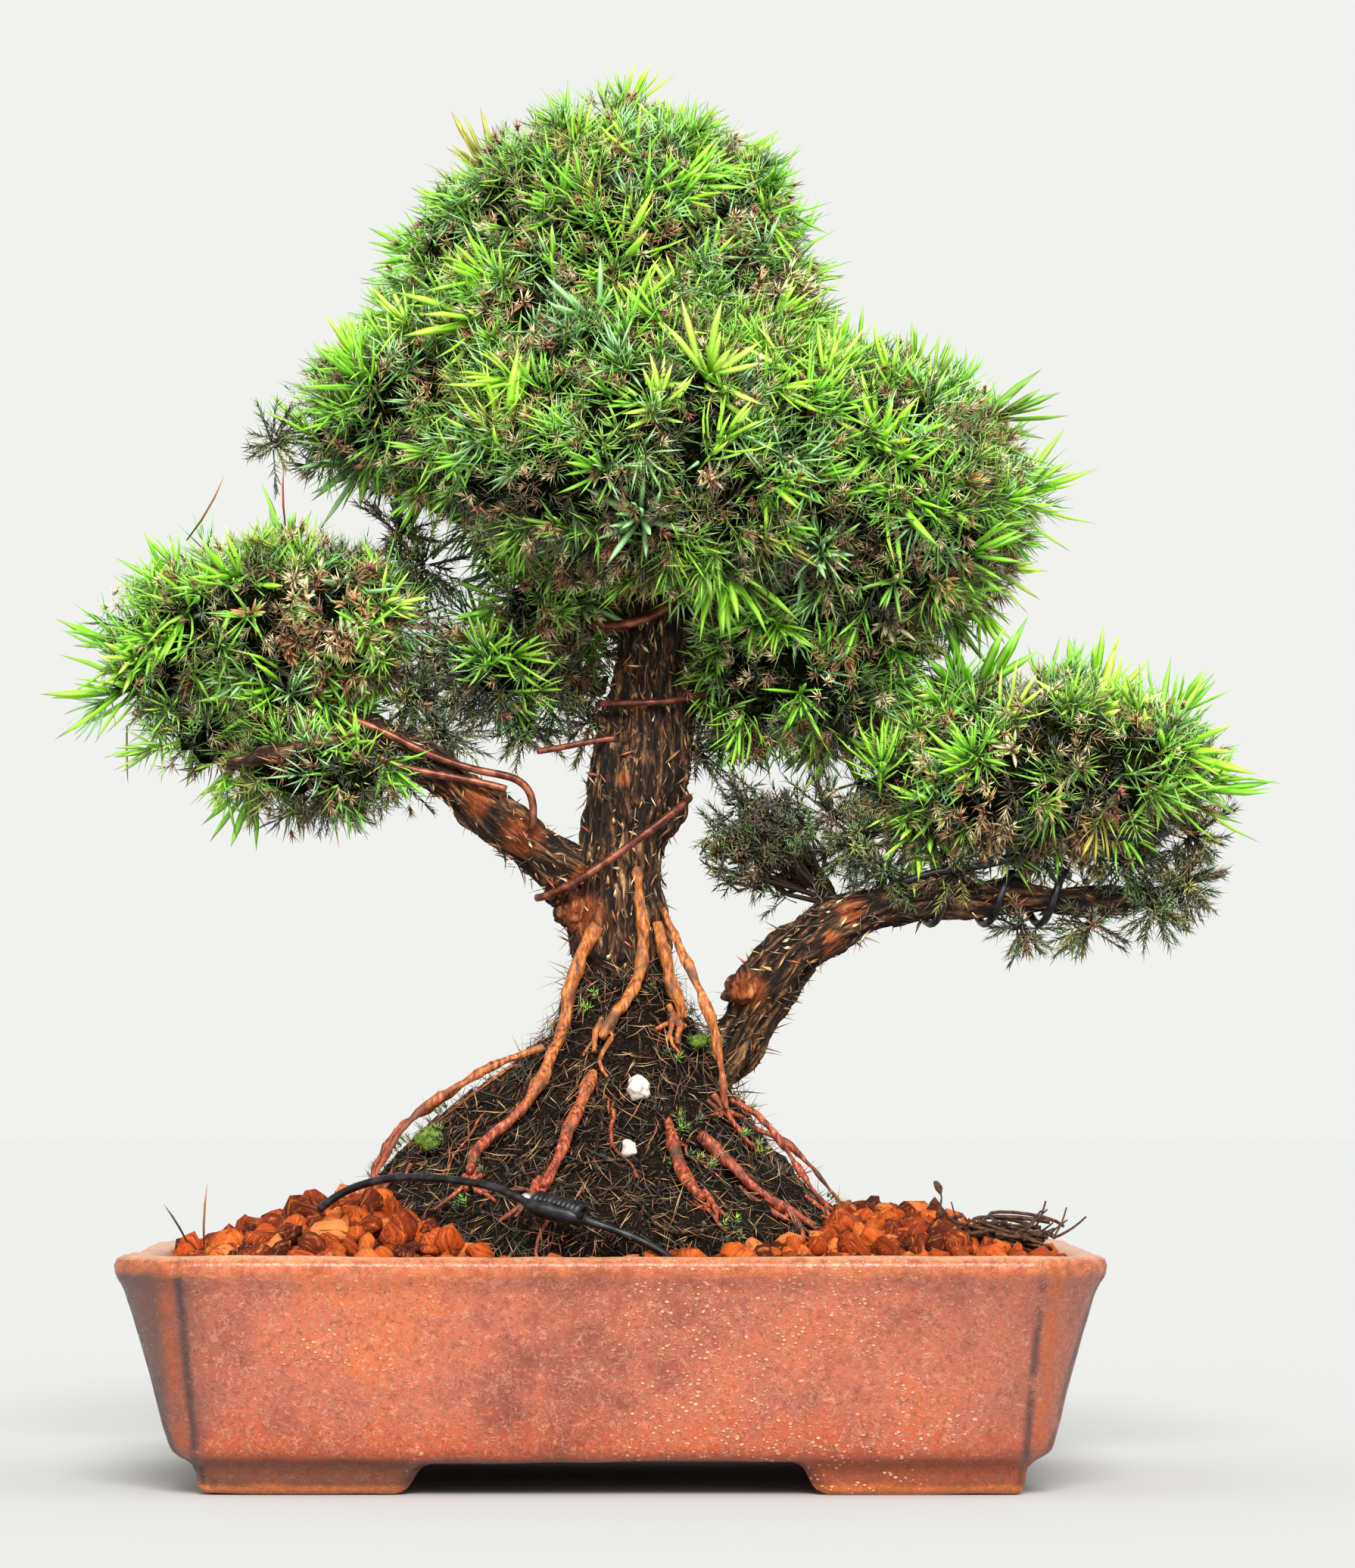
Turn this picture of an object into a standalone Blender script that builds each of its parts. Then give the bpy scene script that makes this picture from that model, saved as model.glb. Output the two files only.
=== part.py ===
"""A small cedar bonsai: a wired tree on exposed roots over a soil mound, in a low glazed pot.

Lengths below are millimetres. The tree faces -Y and the pot's long side lies along X.
Heights of the tree are given above the pot's rim, so it follows the pot when that changes.
"""

from math import cos, exp, pi, sin

import bmesh
import bpy
from mathutils import Vector, noise
from mathutils.bvhtree import BVHTree

MM = 0.001
GAP = 0.35  # between any two pieces that touch
CARVE_LUMP = 0.7  # the same between two foliage pads, which are rougher

# Pot
POT_LENGTH = 168.0
POT_DEPTH = 125.0
POT_HEIGHT = 40.2
BASE_LENGTH = 150.0
BASE_DEPTH = 107.0
WALL = 6.0
FLOOR = 5.0
RIM_BAND = 4.0
RIM_LIP = 0.9  # how far the band stands out of the wall
CORNER_TOP = 11.5  # length of the cut corners at the rim and at the base
CORNER_BASE = 5.5
FOOT_HEIGHT = 5.5
FOOT_LENGTH = 39.0
FOOT_WIDTH = 24.0
FOOT_INSET = 5.0  # from the edge of the base
FOOT_SLOPE = 3.5  # of the inner ends
DRAIN_DIAMETER = 13.0
DRAIN_SPACING = 62.0
DRAIN_MESH_SIDE = 20.0
DRAIN_MESH_THICKNESS = 0.8

# Soil and gravel
SOIL_BELOW_RIM = 4.6
GRAVEL_AT_WALL = -1.4  # height of the gravel's edge above the rim
GRAVEL_CROWN = 2.6  # height of its middle above the rim
GRAVEL_STEP = 16.0  # length of its faces along the wall
GRAVEL_RINGS = 9  # rings of faces from the wall to the middle
# Each heap's middle (x, y), its height and how wide it spreads.
GRAVEL_HEAPS = ((-40.0, -12.0, 8.2, 17.0), (52.0, -4.0, 4.6, 20.0), (4.0, 40.0, 3.0, 18.0))
MOUND_MARGIN = 6.0  # from the mound's front foot to the pot's inner wall

# Tree
TRUNK_DIAMETER = 16.6
WIRE_DIAMETER = 1.5
TIE_WIRE_DIAMETER = 1.5
TWIST_DIAMETER = 3.2
ROOT_GIRTH = 1.0  # factor on every root's thickness

GREEN = (0.09, 0.26, 0.035)
BARK = (0.075, 0.045, 0.03)
ROOT = (0.48, 0.17, 0.05)
SOIL = (0.03, 0.02, 0.013)
GRAVEL = (0.50, 0.13, 0.04)
GLAZE = (0.42, 0.13, 0.075)
BROWN_WIRE = (0.20, 0.07, 0.045)
BLACK_WIRE = (0.02, 0.02, 0.022)
MOSS = (0.13, 0.22, 0.03)
PERLITE = (0.80, 0.77, 0.70)
DRY = (0.10, 0.055, 0.03)


# ---------------------------------------------------------------- scene set-up

for old in list(bpy.data.objects):
    bpy.data.objects.remove(old)


def new_collection(name):
    made = bpy.data.collections.new(name)
    bpy.context.scene.collection.children.link(made)
    return made


PIECES = new_collection("bonsai_tree_in_pot")
CUTTERS = new_collection("cutters")
CUTTERS.hide_render = True


def material(name, colour, roughness, metallic=0.0):
    made = bpy.data.materials.get(name) or bpy.data.materials.new(name)
    made.use_nodes = True
    shader = made.node_tree.nodes["Principled BSDF"]
    shader.inputs["Base Color"].default_value = (*colour, 1)
    shader.inputs["Roughness"].default_value = roughness
    shader.inputs["Metallic"].default_value = metallic
    made.diffuse_color = (*colour, 1)
    return made


def piece(name, mesh, look):
    """An object for one sub-part, with its material."""
    made = bpy.data.objects.new(name, mesh)
    made.data.materials.clear()
    made.data.materials.append(look)
    PIECES.objects.link(made)
    return made


def cutter(name, mesh):
    made = bpy.data.objects.new(name, mesh)
    made.hide_render = True
    made.display_type = "WIRE"
    CUTTERS.objects.link(made)
    return made


def boolean(target, other, operation="DIFFERENCE"):
    modifier = target.modifiers.new(f"{operation.lower()}_{other.name}", "BOOLEAN")
    modifier.operation = operation
    modifier.solver = "EXACT"
    modifier.object = other


def meets(target, other):
    """Whether the two closed meshes share any space."""
    trees = []
    for mesh in (target, other):
        shape = bmesh.new()
        shape.from_mesh(mesh)
        trees.append(BVHTree.FromBMesh(shape))
        shape.free()
    if trees[0].overlap(trees[1]):
        return True
    corner = other.vertices[0].co
    nearest, normal, _, _ = trees[0].find_nearest(corner)
    return (corner - nearest).dot(normal) < 0


def carve(target, cutters):
    """Cut the target by each fattened neighbour that reaches it."""
    for other in cutters:
        if meets(target.data, other.data):
            boolean(target, other)


# ---------------------------------------------------------------- shapes

def mesh_from(name, shape):
    """The shape as a mesh; its uneven quads become triangles, so that every cut sees the same faces."""
    uneven = [face for face in shape.faces if len(face.verts) == 4]
    bmesh.ops.triangulate(shape, faces=uneven, quad_method="FIXED")
    bmesh.ops.recalc_face_normals(shape, faces=shape.faces)
    made = bpy.data.meshes.new(name)
    shape.to_mesh(made)
    shape.free()
    return made


def loft(name, rings, point_at_end=False):
    """A closed body through rings of equally many points, given in millimetres."""
    shape = bmesh.new()
    rows = [[shape.verts.new(Vector(p) * MM) for p in ring] for ring in rings]
    count = len(rows[0])
    for low, high in zip(rows, rows[1:]):
        for i in range(count):
            j = (i + 1) % count
            shape.faces.new((low[i], low[j], high[j], high[i]))
    shape.faces.new(list(reversed(rows[0])))
    if point_at_end:
        centre = sum((Vector(p) for p in rings[-1]), Vector()) / count
        tip = shape.verts.new(centre * MM)
        for i in range(count):
            shape.faces.new((rows[-1][i], rows[-1][(i + 1) % count], tip))
    else:
        shape.faces.new(rows[-1])
    return mesh_from(name, shape)


def smooth_path(points, steps):
    """Catmull-Rom points through the given ones; every value of a point is carried along."""
    path = []
    last = len(points) - 1
    for i in range(last):
        a, b, c, d = points[max(i - 1, 0)], points[i], points[i + 1], points[min(i + 2, last)]
        for k in range(steps):
            t = k / steps
            path.append(tuple(
                0.5 * (2 * q + (r - p) * t + (2 * p - 5 * q + 4 * r - s) * t**2
                       + (3 * q - p - 3 * r + s) * t**3)
                for p, q, r, s in zip(a, b, c, d)
            ))
    path.append(tuple(points[-1]))
    return path


def tube_mesh(name, path, resolution):
    """A round tube with filled caps along (x, y, z, radius) points."""
    curve = bpy.data.curves.new(name, "CURVE")
    curve.dimensions = "3D"
    curve.bevel_depth = MM
    curve.bevel_resolution = resolution
    curve.use_fill_caps = True
    spline = curve.splines.new("POLY")
    spline.points.add(len(path) - 1)
    for point, (x, y, z, radius) in zip(spline.points, path):
        point.co = (x * MM, y * MM, z * MM, 1)
        point.radius = radius
    holder = bpy.data.objects.new(name, curve)
    PIECES.objects.link(holder)
    evaluated = holder.evaluated_get(bpy.context.evaluated_depsgraph_get())
    made = bpy.data.meshes.new_from_object(evaluated)
    bpy.data.objects.remove(holder)
    bpy.data.curves.remove(curve)
    shape = bmesh.new()
    shape.from_mesh(made)
    bmesh.ops.remove_doubles(shape, verts=shape.verts, dist=1e-6)
    bmesh.ops.recalc_face_normals(shape, faces=shape.faces)
    shape.to_mesh(made)
    shape.free()
    made.name = name
    made.shade_smooth()
    made.set_sharp_from_angle(angle=0.9)
    return made


def clearance_path(path, sides):
    """The path of a tube's cutter: drawn out past both caps, and wide enough for its flat
    sides to pass the tube with the gap to spare."""
    first, second = Vector(path[0][:3]), Vector(path[1][:3])
    before, last = Vector(path[-2][:3]), Vector(path[-1][:3])
    start = first + (first - second).normalized() * GAP
    end = last + (last - before).normalized() * GAP
    drawn = [(*start, path[0][3]), *path[1:-1], (*end, path[-1][3])]
    return [(x, y, z, (radius + GAP) / cos(pi / sides)) for x, y, z, radius in drawn]


def tube(name, look, points, steps=2, resolution=2):
    """A tube piece and its fattened cutter."""
    path = smooth_path(points, steps)
    made = piece(name, tube_mesh(name, path, resolution), look)
    coarse = max(1, resolution - 1)
    wide = clearance_path(path, 4 + 2 * coarse)
    return made, cutter(f"{name}_clearance", tube_mesh(f"{name}_clearance", wide, coarse))


def lump_mesh(name, centre, radii, seed, roughness, grow=0.0, subdivisions=3):
    """A lumpy ball: an icosphere stretched to the radii, with smooth noise on its surface."""
    shape = bmesh.new()
    bmesh.ops.create_icosphere(shape, subdivisions=subdivisions, radius=1.0)
    for vert in shape.verts:
        way = vert.co.normalized()
        swell = 1 + roughness * noise.noise(way * 2.1 + Vector((seed, 0, 0)))
        swell += 0.5 * roughness * noise.noise(way * 4.3 + Vector((0, seed, 0)))
        body = Vector([r * w * swell for r, w in zip(radii, way)])
        vert.co = (Vector(centre) + body + way * grow) * MM
    return mesh_from(name, shape)


def lump(name, look, centre, radii, seed, roughness=0.14, subdivisions=3, gap=CARVE_LUMP):
    """A lump piece and its fattened cutter."""
    made = piece(name, lump_mesh(name, centre, radii, seed, roughness, 0, subdivisions), look)
    fat = cutter(
        f"{name}_clearance",
        lump_mesh(f"{name}_clearance", centre, radii, seed, roughness, gap, subdivisions),
    )
    return made, fat


def box_mesh(name, low, high, taper_inner=0.0):
    """A box between two corners; taper_inner pulls in the lower edge of the end nearest x = 0."""
    shape = bmesh.new()
    bmesh.ops.create_cube(shape, size=1.0)
    inner = min(abs(low[0]), abs(high[0]))
    for vert in shape.verts:
        at = [lo + (hi - lo) * (c + 0.5) for lo, hi, c in zip(low, high, vert.co)]
        if taper_inner and vert.co.z < 0 and abs(abs(at[0]) - inner) < 1e-6:
            at[0] += taper_inner if at[0] > 0 else -taper_inner
        vert.co = Vector(at) * MM
    return mesh_from(name, shape)


def cylinder_mesh(name, centre, diameter, height, segments=20):
    shape = bmesh.new()
    bmesh.ops.create_cone(
        shape, cap_ends=True, segments=segments, radius1=diameter / 2 * MM, radius2=diameter / 2 * MM,
        depth=height * MM,
    )
    bmesh.ops.translate(shape, verts=shape.verts, vec=Vector(centre) * MM)
    return mesh_from(name, shape)


# ---------------------------------------------------------------- pot

def outline(half_x, half_y, corner, z):
    """One level of the pot: a rectangle whose corners are cut off and a little rounded."""
    corner_points = [
        (corner, 0.0), (0.62 * corner, 0.24 * corner), (0.24 * corner, 0.62 * corner), (0.0, corner),
    ]
    ring = []
    for sx, sy, flip in ((1, -1, False), (1, 1, True), (-1, 1, False), (-1, -1, True)):
        corners = reversed(corner_points) if flip else corner_points
        for dx, dy in corners:
            ring.append((sx * (half_x - dx), sy * (half_y - dy), z))
    return ring


def wall_level(z, inward):
    """The pot's outline at height z, moved in from its outer face."""
    t = (z - FOOT_HEIGHT) / (POT_HEIGHT - FOOT_HEIGHT)
    half_x = (BASE_LENGTH + (POT_LENGTH - BASE_LENGTH) * t) / 2 - RIM_LIP - inward
    half_y = (BASE_DEPTH + (POT_DEPTH - BASE_DEPTH) * t) / 2 - RIM_LIP - inward
    corner = CORNER_BASE + (CORNER_TOP - CORNER_BASE) * t - 0.4 * min(inward, WALL)
    return outline(half_x, half_y, corner, z)


BED = FOOT_HEIGHT + FLOOR  # the pot's inner floor
SOIL_TOP = POT_HEIGHT - SOIL_BELOW_RIM
DRAIN_X = (-DRAIN_SPACING / 2, DRAIN_SPACING / 2)


def make_pot():
    """Body, rim band and four bracket feet, fired as one piece, with two drain holes."""
    look = material("glaze", GLAZE, 0.28)
    band = POT_HEIGHT - RIM_BAND
    rings = [
        wall_level(FOOT_HEIGHT, 1.6),
        wall_level(FOOT_HEIGHT + 1.6, 0.0),
        wall_level(band - 0.8, 0.0),
        wall_level(band + 0.4, -RIM_LIP),
        wall_level(POT_HEIGHT - 1.2, -RIM_LIP),
        wall_level(POT_HEIGHT, 0.7),
        wall_level(POT_HEIGHT, WALL - 1.2),
        wall_level(POT_HEIGHT - 1.4, WALL),
        wall_level(BED + 2.0, WALL),
        wall_level(BED, WALL + 2.5),
    ]
    pot = piece("pot", loft("pot", rings), look)
    edge_x = BASE_LENGTH / 2 - FOOT_INSET
    edge_y = BASE_DEPTH / 2 - FOOT_INSET
    for sx in (-1, 1):
        for sy in (-1, 1):
            xs = sorted((sx * edge_x, sx * (edge_x - FOOT_LENGTH)))
            ys = sorted((sy * edge_y, sy * (edge_y - FOOT_WIDTH)))
            low = (xs[0], ys[0], 0.0)
            high = (xs[1], ys[1], FOOT_HEIGHT + 0.4 * FLOOR)
            foot = cutter(f"foot_{xs[0]:.0f}_{ys[0]:.0f}", box_mesh("foot", low, high, FOOT_SLOPE))
            round_off = foot.modifiers.new("round_off", "BEVEL")
            round_off.width = 0.9 * MM
            round_off.segments = 1
            boolean(pot, foot, "UNION")
    for x in DRAIN_X:
        hole_centre = (x, 0, FOOT_HEIGHT + FLOOR / 2)
        hole = cylinder_mesh("drain_hole", hole_centre, DRAIN_DIAMETER, FLOOR + 4)
        boolean(pot, cutter(f"drain_hole_{x:.0f}", hole))
    return pot


def make_drain_meshes():
    """Plastic mesh squares that keep the soil in."""
    look = material("drain_mesh", (0.02, 0.02, 0.02), 0.6)
    side = DRAIN_MESH_SIDE / 2
    cuts = []
    for x, name in zip(DRAIN_X, ("drain_mesh_left", "drain_mesh_right")):
        low = (x - side, -side, BED + GAP)
        high = (x + side, side, BED + GAP + DRAIN_MESH_THICKNESS)
        piece(name, box_mesh(name, low, high), look)
        low = (x - side - GAP, -side - GAP, BED - 1)
        high = (x + side + GAP, side + GAP, BED + 2 * GAP + DRAIN_MESH_THICKNESS)
        cuts.append(cutter(f"{name}_clearance", box_mesh(name, low, high)))
    return cuts


def make_soil(cuts):
    """The packed soil, from the pot's floor to below the gravel."""
    rings = [
        wall_level(BED + GAP, WALL + 2.5 + 2 * GAP),
        wall_level(BED + 2.0 + GAP, WALL + 2 * GAP),
        wall_level(SOIL_TOP, WALL + GAP),
    ]
    soil = piece("soil", loft("soil", rings), material("soil", SOIL, 0.95))
    carve(soil, cuts)


# ---------------------------------------------------------------- mound and gravel

def rise(z):
    """Height above the floor of something z above the rim."""
    return POT_HEIGHT + z


FRONT_REACH = POT_DEPTH / 2 - WALL - MOUND_MARGIN
# Height above the rim, then how far the mound reaches left, right, forwards and back.
MOUND = (
    (GAP - SOIL_BELOW_RIM, 53.0, 49.0, FRONT_REACH, 40.0),
    (4.0, 49.0, 44.5, FRONT_REACH - 1.5, 36.0),
    (10.0, 45.0, 36.0, FRONT_REACH - 9.0, 32.5),
    (16.0, 40.0, 30.0, FRONT_REACH - 17.0, 29.0),
    (22.0, 34.0, 25.5, FRONT_REACH - 23.0, 25.0),
    (28.0, 26.0, 22.0, FRONT_REACH - 28.5, 21.0),
    (34.0, 17.5, 19.5, FRONT_REACH - 33.5, 17.0),
    (40.0, 11.5, 16.5, FRONT_REACH - 36.8, 14.0),
    (45.0, 9.5, 13.5, FRONT_REACH - 38.7, 12.0),
    (48.5, 8.6, 11.4, FRONT_REACH - 40.0, 10.6),
)
MOUND_SIDES = 20


def mound_reach(height, angle):
    """The mound's radius about the tree's axis at a height above the rim."""
    height = min(max(height, MOUND[0][0]), MOUND[-1][0])
    for low, high in zip(MOUND, MOUND[1:]):
        if height <= high[0]:
            t = (height - low[0]) / (high[0] - low[0])
            left, right, front, back = (a + (b - a) * t for a, b in zip(low[1:], high[1:]))
            break
    a = right if cos(angle) > 0 else left
    b = back if sin(angle) > 0 else front
    radius = 1 / ((cos(angle) / a) ** 2 + (sin(angle) / b) ** 2) ** 0.5
    return radius * (1 + 0.05 * noise.noise(Vector((3 * cos(angle), 3 * sin(angle), height / 14))))


def mound_mesh(name, grow):
    rings = []
    for level in MOUND:
        height = level[0]
        ring = []
        for i in range(MOUND_SIDES):
            angle = 2 * pi * (i + 0.37) / MOUND_SIDES
            reach = mound_reach(height, angle) + grow
            ring.append((reach * cos(angle), reach * sin(angle), rise(height)))
        rings.append(ring)
    if grow:
        rings.insert(0, [(x, y, z - 6) for x, y, z in rings[0]])
        rings[-1] = [(x, y, z + grow) for x, y, z in rings[-1]]
    return loft(name, rings)


def gravel_height(x, y, inset):
    """Height of the gravel above the rim; inset is 0 at the wall and 1 in the middle."""
    swell = min(inset / 0.25, 1.0)
    height = GRAVEL_AT_WALL + (GRAVEL_CROWN - GRAVEL_AT_WALL) * swell
    for cx, cy, top, spread in GRAVEL_HEAPS:
        height += swell * top * exp(-((x - cx) ** 2 + (y - cy) ** 2) / (2 * spread**2))
    return height + 0.9 * swell * noise.noise(Vector((x / 5, y / 5, 0)))


def gravel_mesh():
    """The top dressing: steep at the wall, heaped in the middle, bumpy on top."""
    bottom = wall_level(SOIL_TOP + GAP, WALL + GAP)
    edge = wall_level(POT_HEIGHT - 1.4 - GAP, WALL + 1.2 * GAP)
    sides = [(Vector(a), Vector(b)) for a, b in zip(bottom, bottom[1:] + bottom[:1])]
    parts = [max(1, round((b - a).length / GRAVEL_STEP)) for a, b in sides]
    rings = []
    for ring in (bottom, edge):
        row = []
        for a, b, count in zip(ring, ring[1:] + ring[:1], parts):
            row.extend(tuple(Vector(a).lerp(Vector(b), k / count)) for k in range(count))
        rings.append(row)
    edge_row = rings[1]
    for k in range(1, GRAVEL_RINGS):
        inset = k / GRAVEL_RINGS
        ring = []
        for x, y, _ in edge_row:
            px, py = x * (1 - inset), y * (1 - inset)
            ring.append((px, py, rise(gravel_height(px, py, inset))))
        rings.append(ring)
    return loft("gravel", rings, point_at_end=True)


# ---------------------------------------------------------------- wood

def make_wood():
    """Trunk, the two low branches and the branches inside the crown."""
    bark = material("bark", BARK, 0.9)
    r = TRUNK_DIAMETER / 2
    trunk = tube("trunk", bark, [
        (1.8, 1.0, rise(28), 0.50 * r), (1.6, 0.6, rise(38), 0.62 * r), (1.5, 0.0, rise(46), 0.82 * r),
        (1.2, 0.0, rise(52), 1.10 * r), (0.3, 0.0, rise(61), 1.06 * r), (1.0, 0.0, rise(67), 0.95 * r),
        (2.2, 0.0, rise(72), 0.90 * r), (3.6, 0.0, rise(78), 1.05 * r), (4.6, 0.0, rise(84), 1.08 * r),
        (5.8, 0.5, rise(90), 0.98 * r), (6.8, 1.0, rise(96), 0.95 * r), (7.6, 1.0, rise(104), 0.82 * r),
        (8.2, 1.0, rise(114), 0.72 * r), (8.4, 0.0, rise(128), 0.60 * r), (7.0, -1.0, rise(146), 0.48 * r),
        (4.0, 0.0, rise(164), 0.34 * r), (2.0, 1.0, rise(182), 0.20 * r),
    ], steps=2, resolution=4)
    branches = []

    def branch(name, points, steps=2, resolution=2):
        made, fat = tube(name, bark, [(x, y, rise(z), size) for x, y, z, size in points], steps, resolution)
        carve(made, [trunk[1]] + [earlier for _, earlier in branches])
        branches.append((made, fat))

    branch("left_branch", [
        (0.0, -1.0, 61.0, 4.9), (-8.5, -3.0, 66.0, 5.0), (-14.5, -4.5, 70.0, 4.6), (-22.5, -6.0, 76.8, 4.0),
        (-31.0, -7.0, 83.8, 3.7), (-42.0, -6.0, 90.0, 3.2), (-54.0, -4.0, 95.6, 2.7),
        (-67.0, -2.0, 101.0, 2.0), (-80.0, 1.0, 104.0, 1.3),
    ])
    branch("left_side_branch", [
        (-39.0, -6.5, 88.6, 1.6), (-47.0, -13.0, 88.0, 1.8), (-57.0, -17.0, 86.0, 1.5),
        (-67.0, -18.0, 84.5, 1.1),
    ])
    branch("right_branch", [
        (14.0, 3.0, 26.0, 4.6), (21.0, 1.0, 35.0, 5.2), (26.8, -1.5, 45.6, 5.2), (32.2, -3.0, 52.2, 4.9),
        (39.0, -4.0, 56.6, 4.4), (48.0, -4.0, 60.0, 4.0), (58.0, -3.0, 61.6, 3.4),
        (71.5, -2.0, 61.2, 3.0), (85.0, -1.0, 61.0, 2.3), (99.0, 0.0, 61.8, 1.0),
    ])
    branch("right_inner_branch", [
        (41.0, -2.0, 58.0, 1.6), (36.0, 4.0, 65.0, 1.8), (30.0, 7.0, 71.0, 1.5), (24.0, 8.0, 75.0, 1.1),
    ])
    branch("crown_branch_left", [
        (6.0, 0.0, 108.0, 2.6), (-6.0, 2.0, 116.0, 2.8), (-22.0, 3.0, 127.0, 2.3), (-40.0, 3.0, 138.0, 1.5),
    ])
    branch("crown_branch_right", [
        (8.0, 0.0, 112.0, 2.6), (22.0, 3.0, 117.0, 2.8), (40.0, 5.0, 125.0, 2.3), (60.0, 4.0, 130.0, 1.5),
    ])
    branch("crown_branch_front", [
        (8.0, 0.0, 120.0, 2.4), (9.0, -12.0, 125.0, 2.4), (12.0, -28.0, 131.0, 1.9),
        (14.0, -42.0, 134.0, 1.3),
    ])
    branch("crown_branch_back", [
        (8.0, 2.0, 104.0, 2.5), (7.0, 14.0, 111.0, 2.6), (5.0, 30.0, 122.0, 2.1), (4.0, 45.0, 132.0, 1.3),
    ])
    branch("skirt_branch_left", [
        (6.0, 0.0, 99.0, 2.0), (-6.0, 2.0, 99.5, 2.1), (-18.0, 3.0, 101.0, 1.5),
    ])
    branch("skirt_branch_right", [
        (7.0, 0.0, 96.0, 2.2), (20.0, 3.0, 97.0, 2.3), (36.0, 4.0, 101.0, 1.7), (48.0, 3.0, 105.0, 1.2),
    ])
    return trunk, branches


def on_mound(x, height, sink, back=False):
    """The y of a point whose centre is sunk below the mound's surface by sink."""
    side = 1 if back else -1
    low, high = 0.0, 80.0
    for _ in range(30):
        y = (low + high) / 2
        spot = Vector((x, side * y))
        angle = Vector((1, 0)).angle_signed(spot) * -1 if spot.length else 0.0
        if spot.length < mound_reach(height, angle) - sink:
            low = y
        else:
            high = y
    return side * low


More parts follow.
